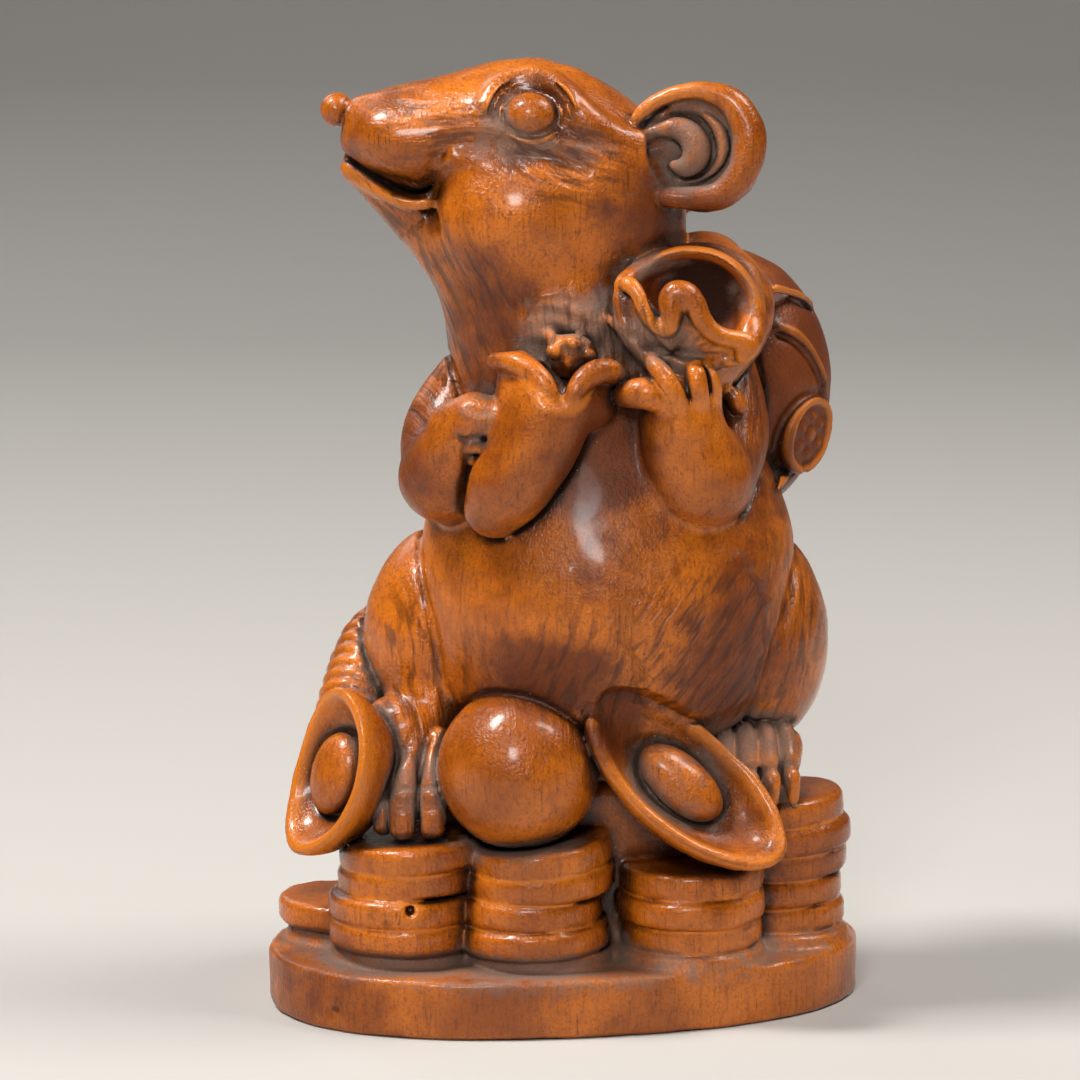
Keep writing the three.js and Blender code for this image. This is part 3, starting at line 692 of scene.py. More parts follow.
# %% [markdown]
# ## Paws
# The near paw has a thumb and three fingers, short limbs in a row, so the gaps between them are
# carved by their own overlap, and an egg for the back of the hand covers their roots. The far
# paw, half hidden by the pod, is one soft form with two slots cut between its fingers.

# %% Paws
FINGERS = [  # from the outermost finger to the innermost, the thumb third
    [(13.3, -13.6, 62.5, 0.5), (13.7, -13.8, 61.6, 0.7), (13.8, -13.4, 60.2, 0.85),
     (13.6, -12.4, 58.4, 0.9)],
    [(12.0, -14.0, 62.7, 0.85), (12.1, -14.7, 61.8, 1.0), (12.3, -14.6, 60.4, 1.1),
     (12.3, -13.4, 58.4, 1.1)],
    [(5.4, -13.4, 60.0, 1.1), (6.4, -14.2, 60.3, 1.35), (7.8, -14.5, 60.3, 1.5),
     (9.4, -14.0, 59.6, 1.5), (10.6, -13.0, 57.8, 1.4)],
    [(8.0, -13.8, 63.2, 0.7), (8.6, -14.6, 62.5, 0.95), (9.4, -15.1, 61.4, 1.1),
     (10.4, -14.8, 59.8, 1.15), (11.0, -13.4, 57.8, 1.1)],
]
for finger in FINGERS:
    limb(finger).join(0.2, groove=0.22)
# The back of the hand, then a hollow and a small knob of cloth beside it
egg((11.3, -12.3, 57.2), (3.3, 2.9, 3.1), (20, 0, 0)).join(1.1)
egg((15.3, -9.9, 58.9), (1.2, 2.2, 1.9), (0, -20, 0)).cut(0.35)
egg((16.0, -8.7, 58.9), (0.9, 1.5, 1.6), (0, -30, 0)).join(0.2, groove=0.2)
# The far paw
limb([[-10.6, -10.0, 57.0, 2.0], [-8.6, -11.8, 57.6, 2.0], [-6.8, -12.8, 57.8, 1.6]]).join(0.7)
upper = [[-10.4, -10.6, 54.9, 1.0], [-8.6, -12.4, 54.9, 0.95], [-6.9, -13.4, 55.1, 0.8]]
limb(upper).join(0.3, groove=0.25)
lower = [[-9.6, -10.8, 53.5, 0.7], [-8.4, -12.2, 53.6, 0.65], [-7.2, -13.0, 53.8, 0.5]]
limb(lower).join(0.3, groove=0.2)
for slot in (
    [(-10.3, 56.2, 0.2), (-8.6, 55.8, 0.4), (-6.6, 55.7, 0.35)],
    [(-8.9, 58.9, 0.2), (-8.0, 58.4, 0.35), (-7.0, 58.5, 0.3)],
):
    limb(laid(slot, 0.05), 9).cut(0.2)
print("paws joined")

# %% [markdown]
# ## The sack
# A full bag hangs behind the left shoulder, with two coins carved on it in low relief. Its neck
# comes over the shoulder to the paw.

# %% Sack
egg((14.8, 8, 58.3), (10.9, 10, 13.2)).join(0.5, groove=0.45)
limb([[13, 2, 68.6, 5], [14.6, -3, 66.6, 5.2], [13, -7.2, 63.6, 4.4]], 12).join(0.8, groove=0.3)


def sack_coin(middle, way, radius):
    """A coin in relief: a dished face with a ring of dots round a boss."""
    turn = facing(way, (0, 0, 1))
    middle = np.array(middle, float)
    out = turn[:, 2]
    disc(middle, radius, 3.4, 0.5, turn=turn).join(0.2, groove=0.3)
    disc(middle + out * 1.75, radius * 0.76, 0.9, 0.2, turn=turn).cut(0.15)
    for a in np.arange(6) * math.pi / 3:
        way_out = turn @ np.array([math.cos(a), math.sin(a), 0])
        spot = middle + out * 1.35 + way_out * radius * 0.48
        egg(spot, (0.55, 0.55, 0.45), turn=turn).join(0.15)
    disc(middle + out * 1.35, radius * 0.2, 0.8, 0.2, turn=turn).join(0.1)


sack_coin((22.4, 3.3, 54.2), (0.8, -0.56, -0.18), 4.0)
sack_coin((12, 17.2, 56), (-0.2, 0.97, -0.16), 4.2)
print("sack joined")

# %% [markdown]
# ## The sack's mouth
# Above the paw the cloth opens in a ruffled mouth. An egg is hollowed out, a thick rolled rim goes
# round its back, and a fan of thin limbs rises from the neck to the wavy rim in front. Pleats are
# cut into the fan, and fold lines run over the sack as a groove with a soft ridge above it.

# %% Sack mouth and folds
BACK_RIM = [
    (5.2, -11.5, 69.9, 0.8), (6.7, -9.2, 70.9, 0.9), (8.6, -7.6, 71.6, 1.0),
    (11.4, -6.2, 72.2, 1.1), (13.5, -5.6, 72.3, 1.1), (15.6, -5.2, 71.5, 1.15),
    (17.0, -5.8, 70.4, 1.2), (17.5, -6.8, 68.8, 1.25), (17.5, -8.2, 67.0, 1.3),
    (17.2, -10.2, 65.1, 1.2), (16.8, -11.8, 63.8, 0.9),
]
FRONT_RIM = [
    (5.2, -11.9, 70.0, 0.6), (5.9, -12.8, 70.2, 0.8), (6.7, -13.4, 69.4, 0.7),
    (7.1, -13.7, 68.4, 0.65), (7.8, -13.9, 67.2, 0.65), (8.7, -14.0, 66.3, 0.65),
    (9.6, -14.0, 66.3, 0.75), (9.8, -13.9, 67.6, 1.05), (9.75, -13.7, 68.8, 1.2),
    (10.3, -13.6, 69.5, 1.15), (11.2, -13.6, 69.4, 1.15), (12.0, -13.8, 68.5, 1.1),
    (12.6, -14.0, 67.2, 1.0), (13.6, -14.0, 66.0, 0.85), (14.9, -13.8, 65.4, 0.75),
    (16.2, -13.4, 65.1, 0.85), (17.0, -13.1, 64.5, 1.05), (16.5, -13.3, 63.6, 0.8),
]
NECK = np.array([10.8, -12.2, 62.8])
egg((11.9, -7.6, 67.2), (6.9, 4.6, 6.0), (0, 12, 0)).join(0.5, groove=0.3)
limb([[11.2, -9.6, 60.6, 3.4], [11.8, -8.6, 64, 4.6]]).join(0.8)
egg((12.1, -10.8, 68.6), (5.5, 4.8, 4.4), (0, 14, 0)).cut(0.5)
limb(BACK_RIM, 40).join(0.5)
limb([(5.4, -11.4, 68.6, 1.1), (6.2, -11.4, 65.8, 1.3), (8.4, -11.8, 63.6, 1.6)]).join(0.6)
RIM_COUNT = 55
for x, y, z, _ in smooth_path(FRONT_RIM, RIM_COUNT)[::2]:
    half_way = NECK + (np.array([x, y, z]) - NECK) * 0.5 + np.array([0, 0.4, -0.2])
    fold = [[*NECK, 1.5], [*half_way, 0.9], [x, y + 0.9, z - 0.3, 0.6]]
    limb(fold, 5).join(0.2, spare=2.0)
limb(FRONT_RIM, RIM_COUNT).join(0.2, groove=0.25)
egg((10.7, -13.3, 68.9), (1.5, 1.1, 1.2)).join(0.5)
PEAK_SLOT = [(11.0, -14.9, 68.4, 0.2), (11.1, -14.4, 67.4, 0.32), (11.1, -14.0, 66.3, 0.5),
             (11.5, -13.7, 65.4, 0.7)]
limb(PEAK_SLOT).cut(0.15)
PLEATS_FROM = (9.8, 63.9)  # x and z of the knot, where all pleats begin
PLEATS = [(5.5, 67.4), (6.0, 65.6), (7.2, 64.5), (12.2, 65.4), (13.6, 64.6), (15.0, 63.6),
          (14.4, 62.8)]
for x, z in PLEATS:
    first = (PLEATS_FROM[0] + 0.1 * (x - PLEATS_FROM[0]), PLEATS_FROM[1], 0.35)
    middle = ((PLEATS_FROM[0] + x) / 2, (PLEATS_FROM[1] + z) / 2, 0.45)
    limb(laid([first, middle, (x, z, 0.35)], 0.0), 8).cut(0.2)
SACK_FOLDS = [
    [(20.0, -0.5, 67.6), (21.2, 1.6, 67.1), (22.5, 4.4, 66.4), (23.6, 7.4, 65.2)],
    [(20.4, 0.7, 63.8), (21.8, 1.2, 63.1), (23.3, 2.2, 61.6), (24.6, 3.4, 59.1), (24.8, 4.2, 57.8)],
]
for line in SACK_FOLDS:
    limb([[x, y + 0.2, z + 0.75, 0.4] for x, y, z in line], 16).join(0.7)
    limb([[x, y, z, 0.42] for x, y, z in line], 16).cut(0.3)
BACK_FOLDS = [
    [(9.5, 66.4, 0.35), (13, 66.8, 0.45), (17, 65.4, 0.45), (20.5, 62.8, 0.3)],
    [(8.2, 62.6, 0.3), (12, 63.4, 0.4), (17, 62.4, 0.4), (20, 60.4, 0.3)],
]
for line in BACK_FOLDS:
    limb(laid([(x, z + 0.8, r) for x, z, r in line], -0.1, 1), 16).join(0.6)
    limb(laid(line, 0.1, 1), 16).cut(0.3)
edge = [(20.1, 49.6, 0.4), (21.5, 50.3, 0.55), (23.2, 50.9, 0.4)]
limb(laid(edge, 0.1), 9).join(0.25, groove=0.25)
print("sack's mouth joined")

# %% [markdown]
# ## Small marks
# Soft tufts of fur at the collar, a faint ring for the navel, a drilled pin hole in one stack of
# coins and a small nick in the plinth. All but the nick are laid on the surface that is there by
# now, so they come last.

# %% Tufts, navel, pin hole and nick
TUFTS = [
    [(-3.4, 67.6, 0.25), (-1.1, 68.0, 0.5), (1.4, 67.0, 0.55), (3.6, 66.0, 0.3)],
    [(-3.6, 66.2, 0.25), (-1.4, 66.6, 0.45), (1.2, 65.8, 0.5), (3.0, 65.2, 0.25)],
    [(-3.3, 65.2, 0.2), (-1.8, 65.3, 0.4), (-0.4, 64.8, 0.25)],
    [(2.2, 67.6, 0.2), (3.6, 67.0, 0.4), (4.8, 66.2, 0.25)],
]
for tuft in TUFTS:
    limb(laid(tuft, 0.0), 12).join(0.7)
NAVEL_HEIGHT, NAVEL_SIZE = 43.6, 0.55
around = np.linspace(0, 6.28, 9)
ring = [(NAVEL_SIZE * math.cos(a), NAVEL_HEIGHT + NAVEL_SIZE * math.sin(a), 0.14) for a in around]
limb(laid(ring, 0.0), 17).join(0.15)
PIN_HOLE = (-14.5, 11.4)  # x, z
hole_y = surface_y(*PIN_HOLE)
outer, inner = ((PIN_HOLE[0], hole_y + past, PIN_HOLE[1]) for past in (-1, 1.2))
limb([[*outer, 0.42], [*inner, 0.38]]).cut(0.1)
limb([[-21.6, -16.2, 2.6, 0.3], [-21.4, -15.5, 2.0, 0.35]]).cut(0.1)
print("small marks made; pin hole at y", round(hole_y, 2))

# %% [markdown]
# ## Hand-carved unevenness
# A knife leaves long shallow facets, and wax softens every edge. A faint random swell is added to
# the field, and the whole field is blurred by about one grid cell, so no edge stays machine-sharp.

# %% Swell and softening
SEED = 11
rng = np.random.default_rng(SEED)
SWELLS = ((3.5, 0.07), (1.6, 0.03))  # length and height of the unevenness, mm
OWN, BESIDE = 0.7, 0.15  # shares of a point and of its neighbours in the blur


def swell(cell, amount):
    """Smooth random unevenness with features about one cell long, in mm."""
    size = np.ceil((HIGH - LOW) / cell).astype(int) + 2
    field = rng.standard_normal(size).astype(np.float32) * amount
    for axis in range(3):
        t = (lines[axis] - LOW[axis]) / cell
        k = t.astype(int)
        f = (t - k).astype(np.float32)
        f = f * f * (3 - 2 * f)
        shape = [1, 1, 1]
        shape[axis] = -1
        f = f.reshape(shape)
        field = np.take(field, k, axis) * (1 - f) + np.take(field, k + 1, axis) * f
    return field


for cell, amount in SWELLS:
    wood += swell(cell, amount)
for axis in range(3):
    ahead = np.roll(wood, -1, axis)
    behind = np.roll(wood, 1, axis)
    wood = OWN * wood + BESIDE * (ahead + behind)
wood = np.maximum(wood, -lines[2][None, None, :])
print("softened")

# %% [markdown]
# ## From field to mesh
# The zero level of the field becomes one closed mesh, thinned until it has under 200,000
# triangles. Flat places give theirs up first, so the fine folds keep their shape.

# %% Mesh
MOST_TRIANGLES = 192000
BAND = 3.0  # distances past this are clipped
grid = openvdb.FloatGrid(background=BAND)
grid.copyFromArray(np.clip(wood, -BAND, BAND))
points, triangles, quads = grid.convertToPolygons(isovalue=0.0, adaptivity=0.0)
points = points * STEP + LOW
faces = quads.tolist() + triangles.tolist()


def placed(name, data):
    """A new object in the scene, made from its data."""
    thing = bpy.data.objects.new(name, data)
    bpy.context.scene.collection.objects.link(thing)
    return thing


mesh = bpy.data.meshes.new("rat_wood")
mesh.from_pydata((points / 1000).tolist(), [], faces)
rat = placed("rat_wood", mesh)
bpy.context.view_layer.objects.active = rat
full = 2 * len(quads) + len(triangles)
thin = rat.modifiers.new("thin", "DECIMATE")
thin.ratio = min(1.0, MOST_TRIANGLES / full)
bpy.ops.object.modifier_apply(modifier=thin.name)
mesh = rat.data
mesh.shade_smooth()
print(full, "triangles thinned to", sum(len(p.vertices) - 2 for p in mesh.polygons))

# %% [markdown]
# ## Where shade is painted and dust gathers
# Shade is painted into the hollows and creases, wax dust lies in them, and handling polishes what
# stands out. Both can be read from the distance field: going out from the surface, the field grows
# more slowly in a crease, and going in it shrinks more slowly under a ridge. Fine hollows, deep
# hollows and ridges are kept on the mesh as one number each.


# %% Hollows and ridges
def sample(spots):
    """The field at any points, by blending the eight nearest grid values."""
    t = np.clip((spots - LOW) / STEP, 0, counts - 1.001)
    k = t.astype(int)
    f = t - k
    out = np.zeros(len(spots))
    for corner in range(8):
        pick = np.array([(corner >> i) & 1 for i in range(3)])
        weight = np.prod(np.where(pick, f, 1 - f), axis=1)
        out += weight * wood[tuple((k + pick).T)]
    return out


def read(name):
    """Three numbers of every corner of the mesh."""
    values = np.empty(len(mesh.vertices) * 3)
    mesh.vertices.foreach_get(name, values)
    return values.reshape(-1, 3)


spots = read("co") * 1000
normals = read("normal")


def keep(name, values):
    """Stores one number per corner of the mesh."""
    layer = mesh.attributes.new(name, "FLOAT", "POINT")
    layer.data.foreach_set("value", np.asarray(values, np.float32))
    print(name, "is", round(float(np.mean(values)), 3), "on average")


def closeness(reaches, way):
    """How slowly the field changes going out (way 1) or in (-1), from 0 to 1."""
    total = np.zeros(len(spots))
    for reach, share in reaches:
        field = way * sample(spots + way * normals * reach)
        total += share * np.clip(1 - field / reach, 0, 1)
    return total


# Distances from the surface, mm, and their shares
keep("fine_hollow", closeness(((0.5, 0.4), (1.0, 0.35), (2.0, 0.25)), 1))
keep("deep_hollow", closeness(((3.0, 0.6), (5.0, 0.4)), 1))
keep("ridge", closeness(((0.6, 0.5), (1.2, 0.5)), -1))

# %% [markdown]
# ## Stain, painted shade and dust by place
# The dark patches are mostly painted shade and partly stain: the neck under the head, the wood
# under the ears and the muzzle, the chest between the arms, the undersides of the arms and the
# belly and the inside of the sack's mouth are darkened where shade falls, and the sack and the back
# are stained darker. Cheeks, pearl and arms were handled to a bright orange. Old wax has dried grey
# in the sheltered parts. Each patch is a soft egg-shaped cloud, so both are kept as one number on
# the mesh, and the finish breaks up their borders.

# %% Stain, painted shade and dust by place
# Most patches are painted shade where shade falls, under the head, ears, muzzle, arms and belly and
# between the arms; those on the sack and the back are stain.
STAIN_AND_SHADE = [  # middle, reach, strength
    ((-8, -8, 65), (6, 7, 9), 0.6),
    ((9, -8, 76), (7, 6, 6), 0.55),
    ((3, -12, 55), (6, 6, 7), 0.9),
    ((0, -14, 56), (3.5, 5, 6), 0.5),
    ((-1, -14, 34), (6, 5, 3.5), 0.95),
    ((15, -12, 35), (6, 8, 9), 0.6),
    ((21, 5, 58), (9, 14, 14), 0.75),
    # Painted shade inside the sack's mouth, the darkest of all.
    ((12.6, -7.4, 68.6), (4.2, 3.6, 3.9), 2.2),
    ((4.7, -13, 29.5), (3, 5, 4), 0.9),
    ((-22, -8, 3), (9, 12, 5), 0.5),
    ((-14, -6, 53), (4, 7, 7), 0.5),
    ((18, -8, 52), (4, 6, 8), 0.5),
    ((-17, -2, 81.5), (5, 4, 2.4), 0.4),
    ((6, -14, 47), (9, 5, 6), 0.3),
    ((0, 16, 40), (26, 8, 30), 0.35),
    ((17, -10, 17), (6, 8, 5), 0.5),
]
DUST = [
    ((-5.6, -8, 83.6), (4.2, 5, 3.0), 0.75),
    ((2.4, -9, 82.2), (4, 4, 1.6), 0.6),
    ((-3.4, -9.5, 82.6), (3.4, 3, 1.3), 0.95),
    ((12.5, -7.5, 82), (5, 3, 5), 0.85),
    ((9, -9, 71), (4, 4, 2), 0.7),
    ((17, -7.5, 69), (2.2, 4, 3), 0.7),
    ((1, -10, 66), (6, 4, 3.5), 0.9),
    ((7.6, -12.6, 64.6), (4.5, 4, 2.8), 1.0),
    ((-8, -13, 57.6), (3, 3, 3), 0.6),
    ((17, -6, 25.5), (6.5, 6, 4), 1.0),
    ((9.5, -14, 23), (6, 4, 6), 0.55),
    ((-14.5, -10, 22), (4, 4, 4), 0.75),
    ((-18, 0, 30), (6, 8, 6), 0.5),
    ((0, -8, 5.8), (34, 26, 2.2), 0.75),
    ((-17, -10, 28), (5, 5, 4), 0.5),
    ((-3, -14, 16.5), (9, 6, 1.6), 0.6),
]


CLOUD_END = 1.5  # where a patch ends, in its own reaches


def away_from(middle, reach):
    """Every spot's distance from a place, measured in that place's reach."""
    return np.linalg.norm((spots - np.array(middle)) / np.array(reach), axis=1)


def clouds(table):
    """The strongest patch that reaches each spot, fading over its outer part."""
    amount = np.zeros(len(spots))
    for middle, reach, strength in table:
        faded = strength * np.clip(CLOUD_END - away_from(middle, reach), 0, 1)
        amount = np.maximum(amount, faded)
    return amount


# Stain and painted shade by place, kept as one number.
keep("stain_and_shade", clouds(STAIN_AND_SHADE))
keep("dust", clouds(DUST))

# %% [markdown]
# ## Fur
# The fur is cut as short strokes that follow the body: down the throat, back over the cheek, and
# slanting across the lower belly and thighs. Each region has a way that its strokes run and a
# strength that fades at its border. The stroke position is kept on the mesh as two numbers, and
# the finish turns them into fine relief.

# %% Fur strokes
FUR = [  # middle, reach, way of the strokes, strength
    ((14, -12, 36), (9, 9, 7), (0.62, 0.0, 0.78), 1.0),
    ((2, -14, 34), (9, 8, 7), (0.3, 0.0, 0.95), 0.5),
    ((-10, -3, 68), (7, 10, 8), (0.45, 0.0, -0.9), 0.9),
    ((-16, -1, 77), (5, 6, 4), (0.75, 0.0, -0.65), 0.7),
    ((0, -8, 81), (6, 5, 4), (0.9, 0.0, -0.35), 0.8),
    ((-12, -5, 85), (6, 6, 4), (0.96, 0.0, 0.1), 0.7),
    ((20, -6, 36), (6, 9, 9), (0.25, 0.0, 0.97), 0.7),
    ((-13, -6, 33), (6, 9, 8), (-0.1, 0.0, 1.0), 0.6),
    ((-12, -3, 56), (6, 8, 6), (-0.2, 0.0, 1.0), 0.5),
    ((17, -5, 55), (5, 7, 7), (0.2, 0.0, 1.0), 0.6),
    ((4, -12, 66), (7, 6, 4), (0.2, 0.0, -1.0), 0.8),
    ((2, 14, 44), (17, 8, 18), (0.1, 0.0, -1.0), 0.5),
    ((2, 8, 68), (9, 6, 12), (0.15, 0.0, -1.0), 0.5),
]
FUR_END = 1.35
STROKE_LEAN = 0.35  # how much the rows of strokes lean into the wood
fur, along, beside = (np.zeros(len(spots)) for _ in range(3))
for middle, reach, way, strength in FUR:
    amount = strength * np.clip(FUR_END - away_from(middle, reach), 0, 1)
    way = np.array(way) / np.linalg.norm(way)
    cross = np.array([way[2], STROKE_LEAN, -way[0]])
    takes = amount > fur
    along[takes] = (spots @ way)[takes]
    beside[takes] = (spots @ cross)[takes]
    fur = np.maximum(fur, amount)
keep("fur", fur)
keep("stroke_along", along)
keep("stroke_beside", beside)
print("fur on", round(float((fur > 0.1).mean()), 2), "of the surface")

# %% [markdown]
# ## Words for shader maths
# A finish of many layers is hard to read as nodes and links. One small class wraps a socket, so
# that sums and products of sockets build the maths nodes, and one method makes any other node
# from its type, its settings and its socket values.


# %% Shader words
class Node:
    """One socket, with sums and products that build maths nodes."""

    tree = None

    def __init__(self, socket):
        self.socket = socket

    @classmethod
    def make(cls, kind, settings=None, **inputs):
        """A node of any type from its settings and socket values."""
        node = cls.tree.nodes.new(kind)
        for name, value in (settings or {}).items():
            setattr(node, name, value)
        for name, value in inputs.items():
            numbered = name[0] == "i" and name[1:].isdigit()
            cls.put(node.inputs[int(name[1:]) if numbered else name.replace("_", " ")], value)
        return node

    @classmethod
    def put(cls, socket, value):
        if isinstance(value, Node):
            cls.tree.links.new(value.socket, socket)
        else:
            socket.default_value = value

    @classmethod
    def maths(cls, operation, first, second):
        node = cls.make("ShaderNodeMath", {"operation": operation}, i0=first, i1=second)
        return Node(node.outputs[0])

    def __add__(self, other):
        return self.maths("ADD", self, other)

    def __radd__(self, other):
        return self.maths("ADD", other, self)

    def __sub__(self, other):
        return self.maths("SUBTRACT", self, other)

    def __rsub__(self, other):
        return self.maths("SUBTRACT", other, self)

    def __mul__(self, other):
        return self.maths("MULTIPLY", self, other)

    def ramp(self, start, end):
        """0 below start, 1 above end, smooth between."""
        settings = {"interpolation_type": "SMOOTHSTEP"}
        ends = {"From_Min": start, "From_Max": end}
        return Node(Node.make("ShaderNodeMapRange", settings, Value=self, **ends).outputs[0])


def kept(name):
    """A number kept on the mesh."""
    return Node(Node.make("ShaderNodeAttribute", {"attribute_name": name}).outputs["Fac"])


def stretched(source, scale):
    """Coordinates scaled by three numbers."""
    node = Node.make("ShaderNodeVectorMath", {"operation": "MULTIPLY"}, i0=source, i1=scale)
    return Node(node.outputs[0])


def noise(where, scale, detail=3.0, rough=0.55):
    """Soft noise around one half."""
    sizes = {"Scale": scale, "Detail": detail, "Roughness": rough}
    return Node(Node.make("ShaderNodeTexNoise", Vector=where, **sizes).outputs["Fac"])


def mixed(share, first, second):
    """One colour over another."""
    node = Node.make("ShaderNodeMix", {"data_type": "RGBA"}, Factor=share)
    a, b = [s for s in node.inputs if s.type == "RGBA"]
    Node.put(a, first)
    Node.put(b, second)
    return Node([s for s in node.outputs if s.type == "RGBA"][0])


def paint(red, green, blue):
    """A colour as the eye names it, 0 to 255."""
    parts = [v / 255 for v in (red, green, blue)]
    line = [((v + 0.055) / 1.055) ** 2.4 if v > 0.04 else v / 12.92 for v in parts]
    return (*line, 1.0)


print("shader words ready")

# %% [markdown]
# ## The finish
# Stained boxwood is warm orange-brown where it is polished. Red-brown to near black is painted
# shade in the hollows, the creases and under the forms, with some real stain on the sack and the
# back, and grey wax dust lies in the creases. The grain is fine and runs up the block, and shows
# as short dark dashes. The colours are laid over each other: wood, grain, stain and painted shade
# by place, painted shade in the hollows, polish, painted shade in the creases, dust. A thin wax
# layer gives a satin highlight.

# %% Boxwood
PLAIN = paint(154, 76, 8)
POLISHED = paint(212, 114, 22)
BLOTCH = paint(124, 50, 7)
GRAIN = paint(98, 38, 6)
DASH = paint(52, 22, 6)
PORE = paint(80, 30, 5)
STAIN_AND_SHADE_BROWN = paint(98, 40, 5)
DEEP_SHADE = paint(34, 19, 12)
SHADE = paint(52, 21, 5)
WORN = paint(234, 134, 38)
CREASE_SHADE = paint(22, 11, 7)
WAX_DUST = paint(134, 110, 96)
SPECK = paint(214, 188, 156)
FUR_LANE = paint(60, 26, 8)

boxwood = bpy.data.materials.new("boxwood")
boxwood.use_nodes = True
boxwood.node_tree.nodes.clear()
Node.tree = boxwood.node_tree
place = Node(Node.make("ShaderNodeTexCoord").outputs["Object"])
mm = stretched(place, (1000, 1000, 1000))

fine = kept("fine_hollow")
deep = kept("deep_hollow")
high = kept("ridge")
fur_share = kept("fur")
stain_and_shade = kept("stain_and_shade")

# The wood, its blotches, grain, dashes and pores
patch = noise(mm, 0.09, 3.0)
blotch = noise(mm, 0.35, 4.0, 0.6)
grain = noise(stretched(mm, (2.6, 2.6, 0.22)), 1.0, 4.0, 0.65)
dash = noise(stretched(mm, (4.5, 4.5, 0.5)), 1.0, 2.0, 0.5)
pores = noise(mm, 3.2, 2.0, 0.6)
body = mixed(patch.ramp(0.35, 0.65), PLAIN, POLISHED)
body = mixed(blotch.ramp(0.45, 0.75) * 0.45, body, BLOTCH)
body = mixed(grain.ramp(0.48, 0.72) * 0.45, body, GRAIN)
body = mixed(dash.ramp(0.62, 0.7) * 0.5, body, DASH)
body = mixed(pores.ramp(0.5, 0.68) * 0.38, body, PORE)

# Stain and painted shade by place, the darkest painted shade inside the sack's mouth, painted shade
# in the hollows, then polish on the ridges
uneven = blotch - 0.5
stain_and_shade_share = (stain_and_shade + uneven * 0.9).ramp(0.12, 0.7)
body = mixed(stain_and_shade_share * 0.85, body, STAIN_AND_SHADE_BROWN)
# Near-black painted shade where the patches are strongest, inside the sack's mouth.
deep_shade = (stain_and_shade + uneven * 0.4).ramp(0.9, 1.7)
body = mixed(deep_shade * 0.9, body, DEEP_SHADE)
shade = (fine * 0.5 + deep * 0.5 + uneven * 0.35).ramp(0.18, 0.8)
body = mixed(shade * 0.9, body, SHADE)
worn = (high * (1.15 - fine) + (patch - 0.5) * 0.3 - stain_and_shade * 0.2).ramp(0.22, 0.6)
body = mixed(worn * 0.55, body, WORN)
# Painted shade, near black, in the finest creases.
crease_shade = (fine + (noise(mm, 1.4, 3.0) - 0.5) * 0.35).ramp(0.76, 0.98)
body = mixed(crease_shade * 0.92, body, CREASE_SHADE)

# Wax dust lies beside the creases, thickest in the sheltered places.
drift = noise(mm, 0.7, 4.0, 0.65) - 0.5
dust = (fine * 0.3 + deep * 0.2 + kept("dust") * 0.85 + drift * 0.9).ramp(0.4, 0.85)
dust = dust * (1.0 - crease_shade * 0.6) * (1.0 - worn * 0.4)
body = mixed(dust * 0.72, body, WAX_DUST)
specks = noise(mm, 4.2, 1.0).ramp(0.74, 0.8) * (deep.ramp(0.2, 0.8) * 0.6 + 0.15)
body = mixed(specks, body, SPECK)

# Relief: fur strokes, grain and a fine stipple.
lane_x, lane_y = kept("stroke_beside") * 1.15, kept("stroke_along") * 0.22
lanes = Node(Node.make("ShaderNodeCombineXYZ", X=lane_x, Y=lane_y, Z=0.0).outputs[0])
strokes = noise(lanes, 1.0, 2.0, 0.5)
relief = strokes * fur_share * 2.2 + pores * 0.22 + grain * 0.1 + blotch * 0.25
bump = Node(Node.make("ShaderNodeBump", Strength=0.7, Distance=0.0006, Height=relief).outputs[0])
dark_lane = (0.52 - strokes).ramp(0.0, 0.14) * fur_share.ramp(0.0, 0.5) * 0.6
body = mixed(dark_lane, body, FUR_LANE)

# Sheen: polished wood is smooth, and the stained and shaded patches, the creases and dust are dull.
dull = 0.27 + stain_and_shade * 0.3 + uneven * 0.14 + crease_shade * 0.3 + dust * 0.3 + (pores - 0.5) * 0.1
surface = Node.make(
    "ShaderNodeBsdfPrincipled",
    Base_Color=body,
    Roughness=dull,
    Normal=bump,
    Coat_Weight=(1.0 - dust - crease_shade * 0.6 - stain_and_shade) * 0.35,
    Coat_Roughness=0.14,
    IOR=1.46,
    Specular_IOR_Level=0.4,
)
output = Node.make("ShaderNodeOutputMaterial")
Node.tree.links.new(surface.outputs[0], output.inputs["Surface"])
rat.data.materials.append(boxwood)
print("finish has", len(Node.tree.nodes), "nodes")

# %% [markdown]
# ## The studio
# The figure stands on a pale floor that curves up out of sight. Two soft lights high on the left
# and the right give the polished wood its paired highlights, a weaker one from the front opens
# the shadows, and a faint one from behind draws the edge of the back. The camera looks a little
# down on the figure through a long lens, as in the photo.

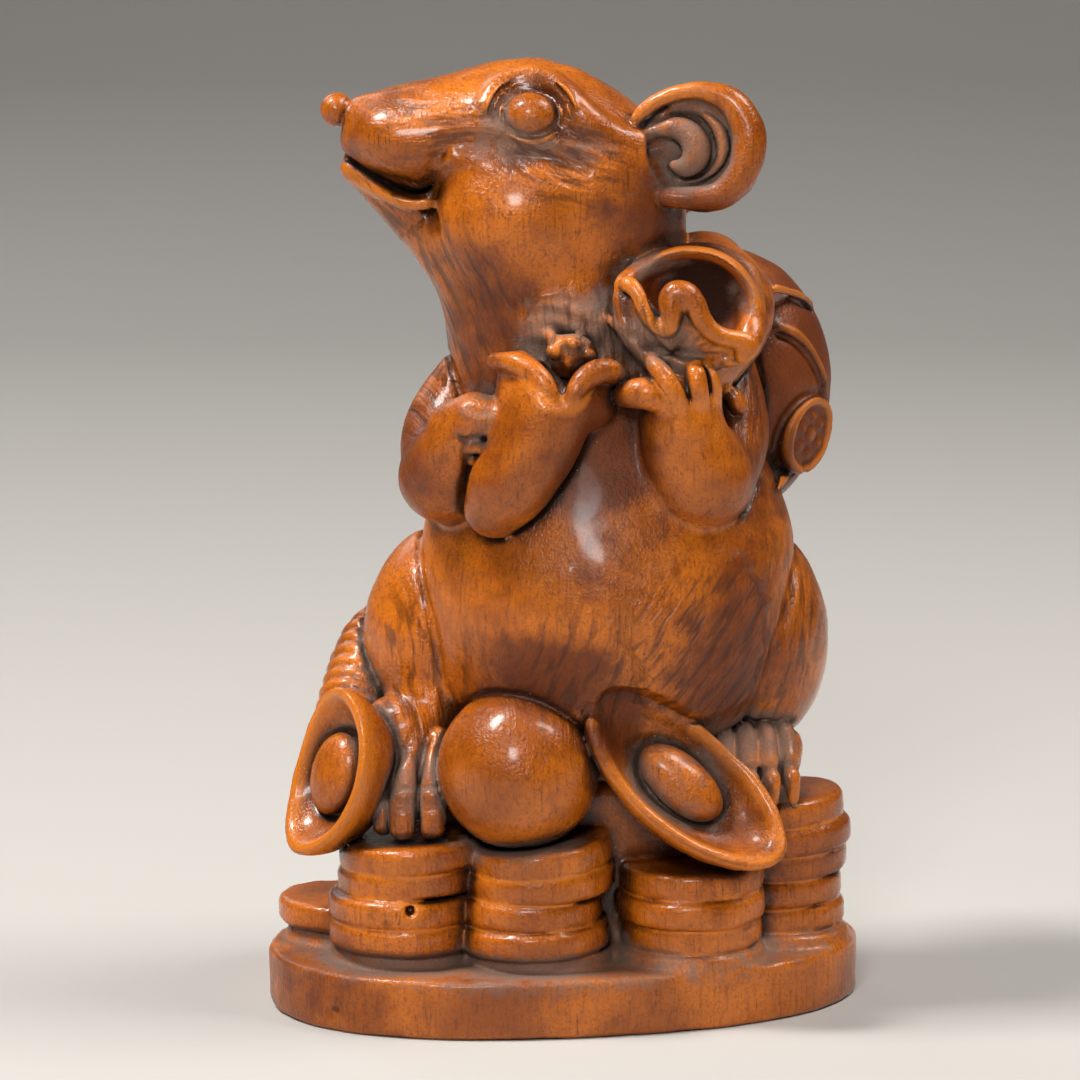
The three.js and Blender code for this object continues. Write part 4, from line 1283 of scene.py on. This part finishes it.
# %% Floor, light and camera
FLOOR_HALF = 1.5  # metres, as all places in this cell
FLOOR_CURVE = [(-1.2, 0), (0.5, 0), (0.75, 0.03), (0.95, 0.12), (1.1, 0.35), (1.15, 1.4)]  # y, z
FLOOR_COLOUR = (0.5, 0.485, 0.46, 1)
WARM, PLAIN_WHITE, COOL = (1, 0.96, 0.92), (1, 1, 1), (0.95, 0.97, 1)
LIGHTS = [  # name, place, size, watts, colour
    ("key", (-0.28, -0.06, 0.56), 0.14, 3.8, WARM),
    ("second", (0.32, -0.02, 0.55), 0.22, 2.5, WARM),
    ("front", (-0.08, -0.52, 0.34), 0.12, 1.4, PLAIN_WHITE),
    ("back", (-0.3, 0.5, 0.4), 0.3, 0.5, COOL),
]
AIM = Vector((0, 0, 0.045))  # the middle of the figure
CAMERA_PLACE = (-0.0023, -0.515, 0.1284)
CAMERA_DIP = 9.284  # degrees below level
SENSOR, LENS = 36, 182.3  # mm

floor_mesh = bpy.data.meshes.new("floor")
floor_points = [(x, y, z) for x in (-FLOOR_HALF, FLOOR_HALF) for y, z in FLOOR_CURVE]
half = len(FLOOR_CURVE)
floor_faces = [(i, i + half, i + half + 1, i + 1) for i in range(half - 1)]
floor_mesh.from_pydata(floor_points, [], floor_faces)
floor_mesh.shade_smooth()
floor = placed("floor", floor_mesh)
pale = bpy.data.materials.new("pale_floor")
pale.use_nodes = True
paint_node = pale.node_tree.nodes["Principled BSDF"]
paint_node.inputs["Base Color"].default_value = FLOOR_COLOUR
paint_node.inputs["Roughness"].default_value = 0.85
floor.data.materials.append(pale)


def softbox(name, spot, size, power, colour):
    """A square light that faces the figure."""
    light = bpy.data.lights.new(name, "AREA")
    light.size = size
    light.energy = power
    light.color = colour
    lamp = placed(name, light)
    lamp.location = spot
    lamp.rotation_euler = (AIM - Vector(spot)).to_track_quat("-Z", "Y").to_euler()


for row in LIGHTS:
    softbox(*row)
world = bpy.data.worlds.new("studio")
world.use_nodes = True
sky = world.node_tree.nodes["Background"]
sky.inputs["Color"].default_value = (0.9, 0.93, 1, 1)
sky.inputs["Strength"].default_value = 0.04
bpy.context.scene.world = world
bpy.context.scene.view_settings.view_transform = "Standard"

lens = bpy.data.cameras.new("camera")
lens.sensor_width = SENSOR
lens.lens = LENS
lens.clip_start = 0.05
camera = placed("camera", lens)
camera.location = CAMERA_PLACE
camera.rotation_euler = (math.radians(90 - CAMERA_DIP), 0, 0)
bpy.context.scene.camera = camera
print("studio ready with", len(LIGHTS), "lights")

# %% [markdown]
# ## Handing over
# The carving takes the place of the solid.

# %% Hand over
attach(rat, "root")
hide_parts("rat_figurine")
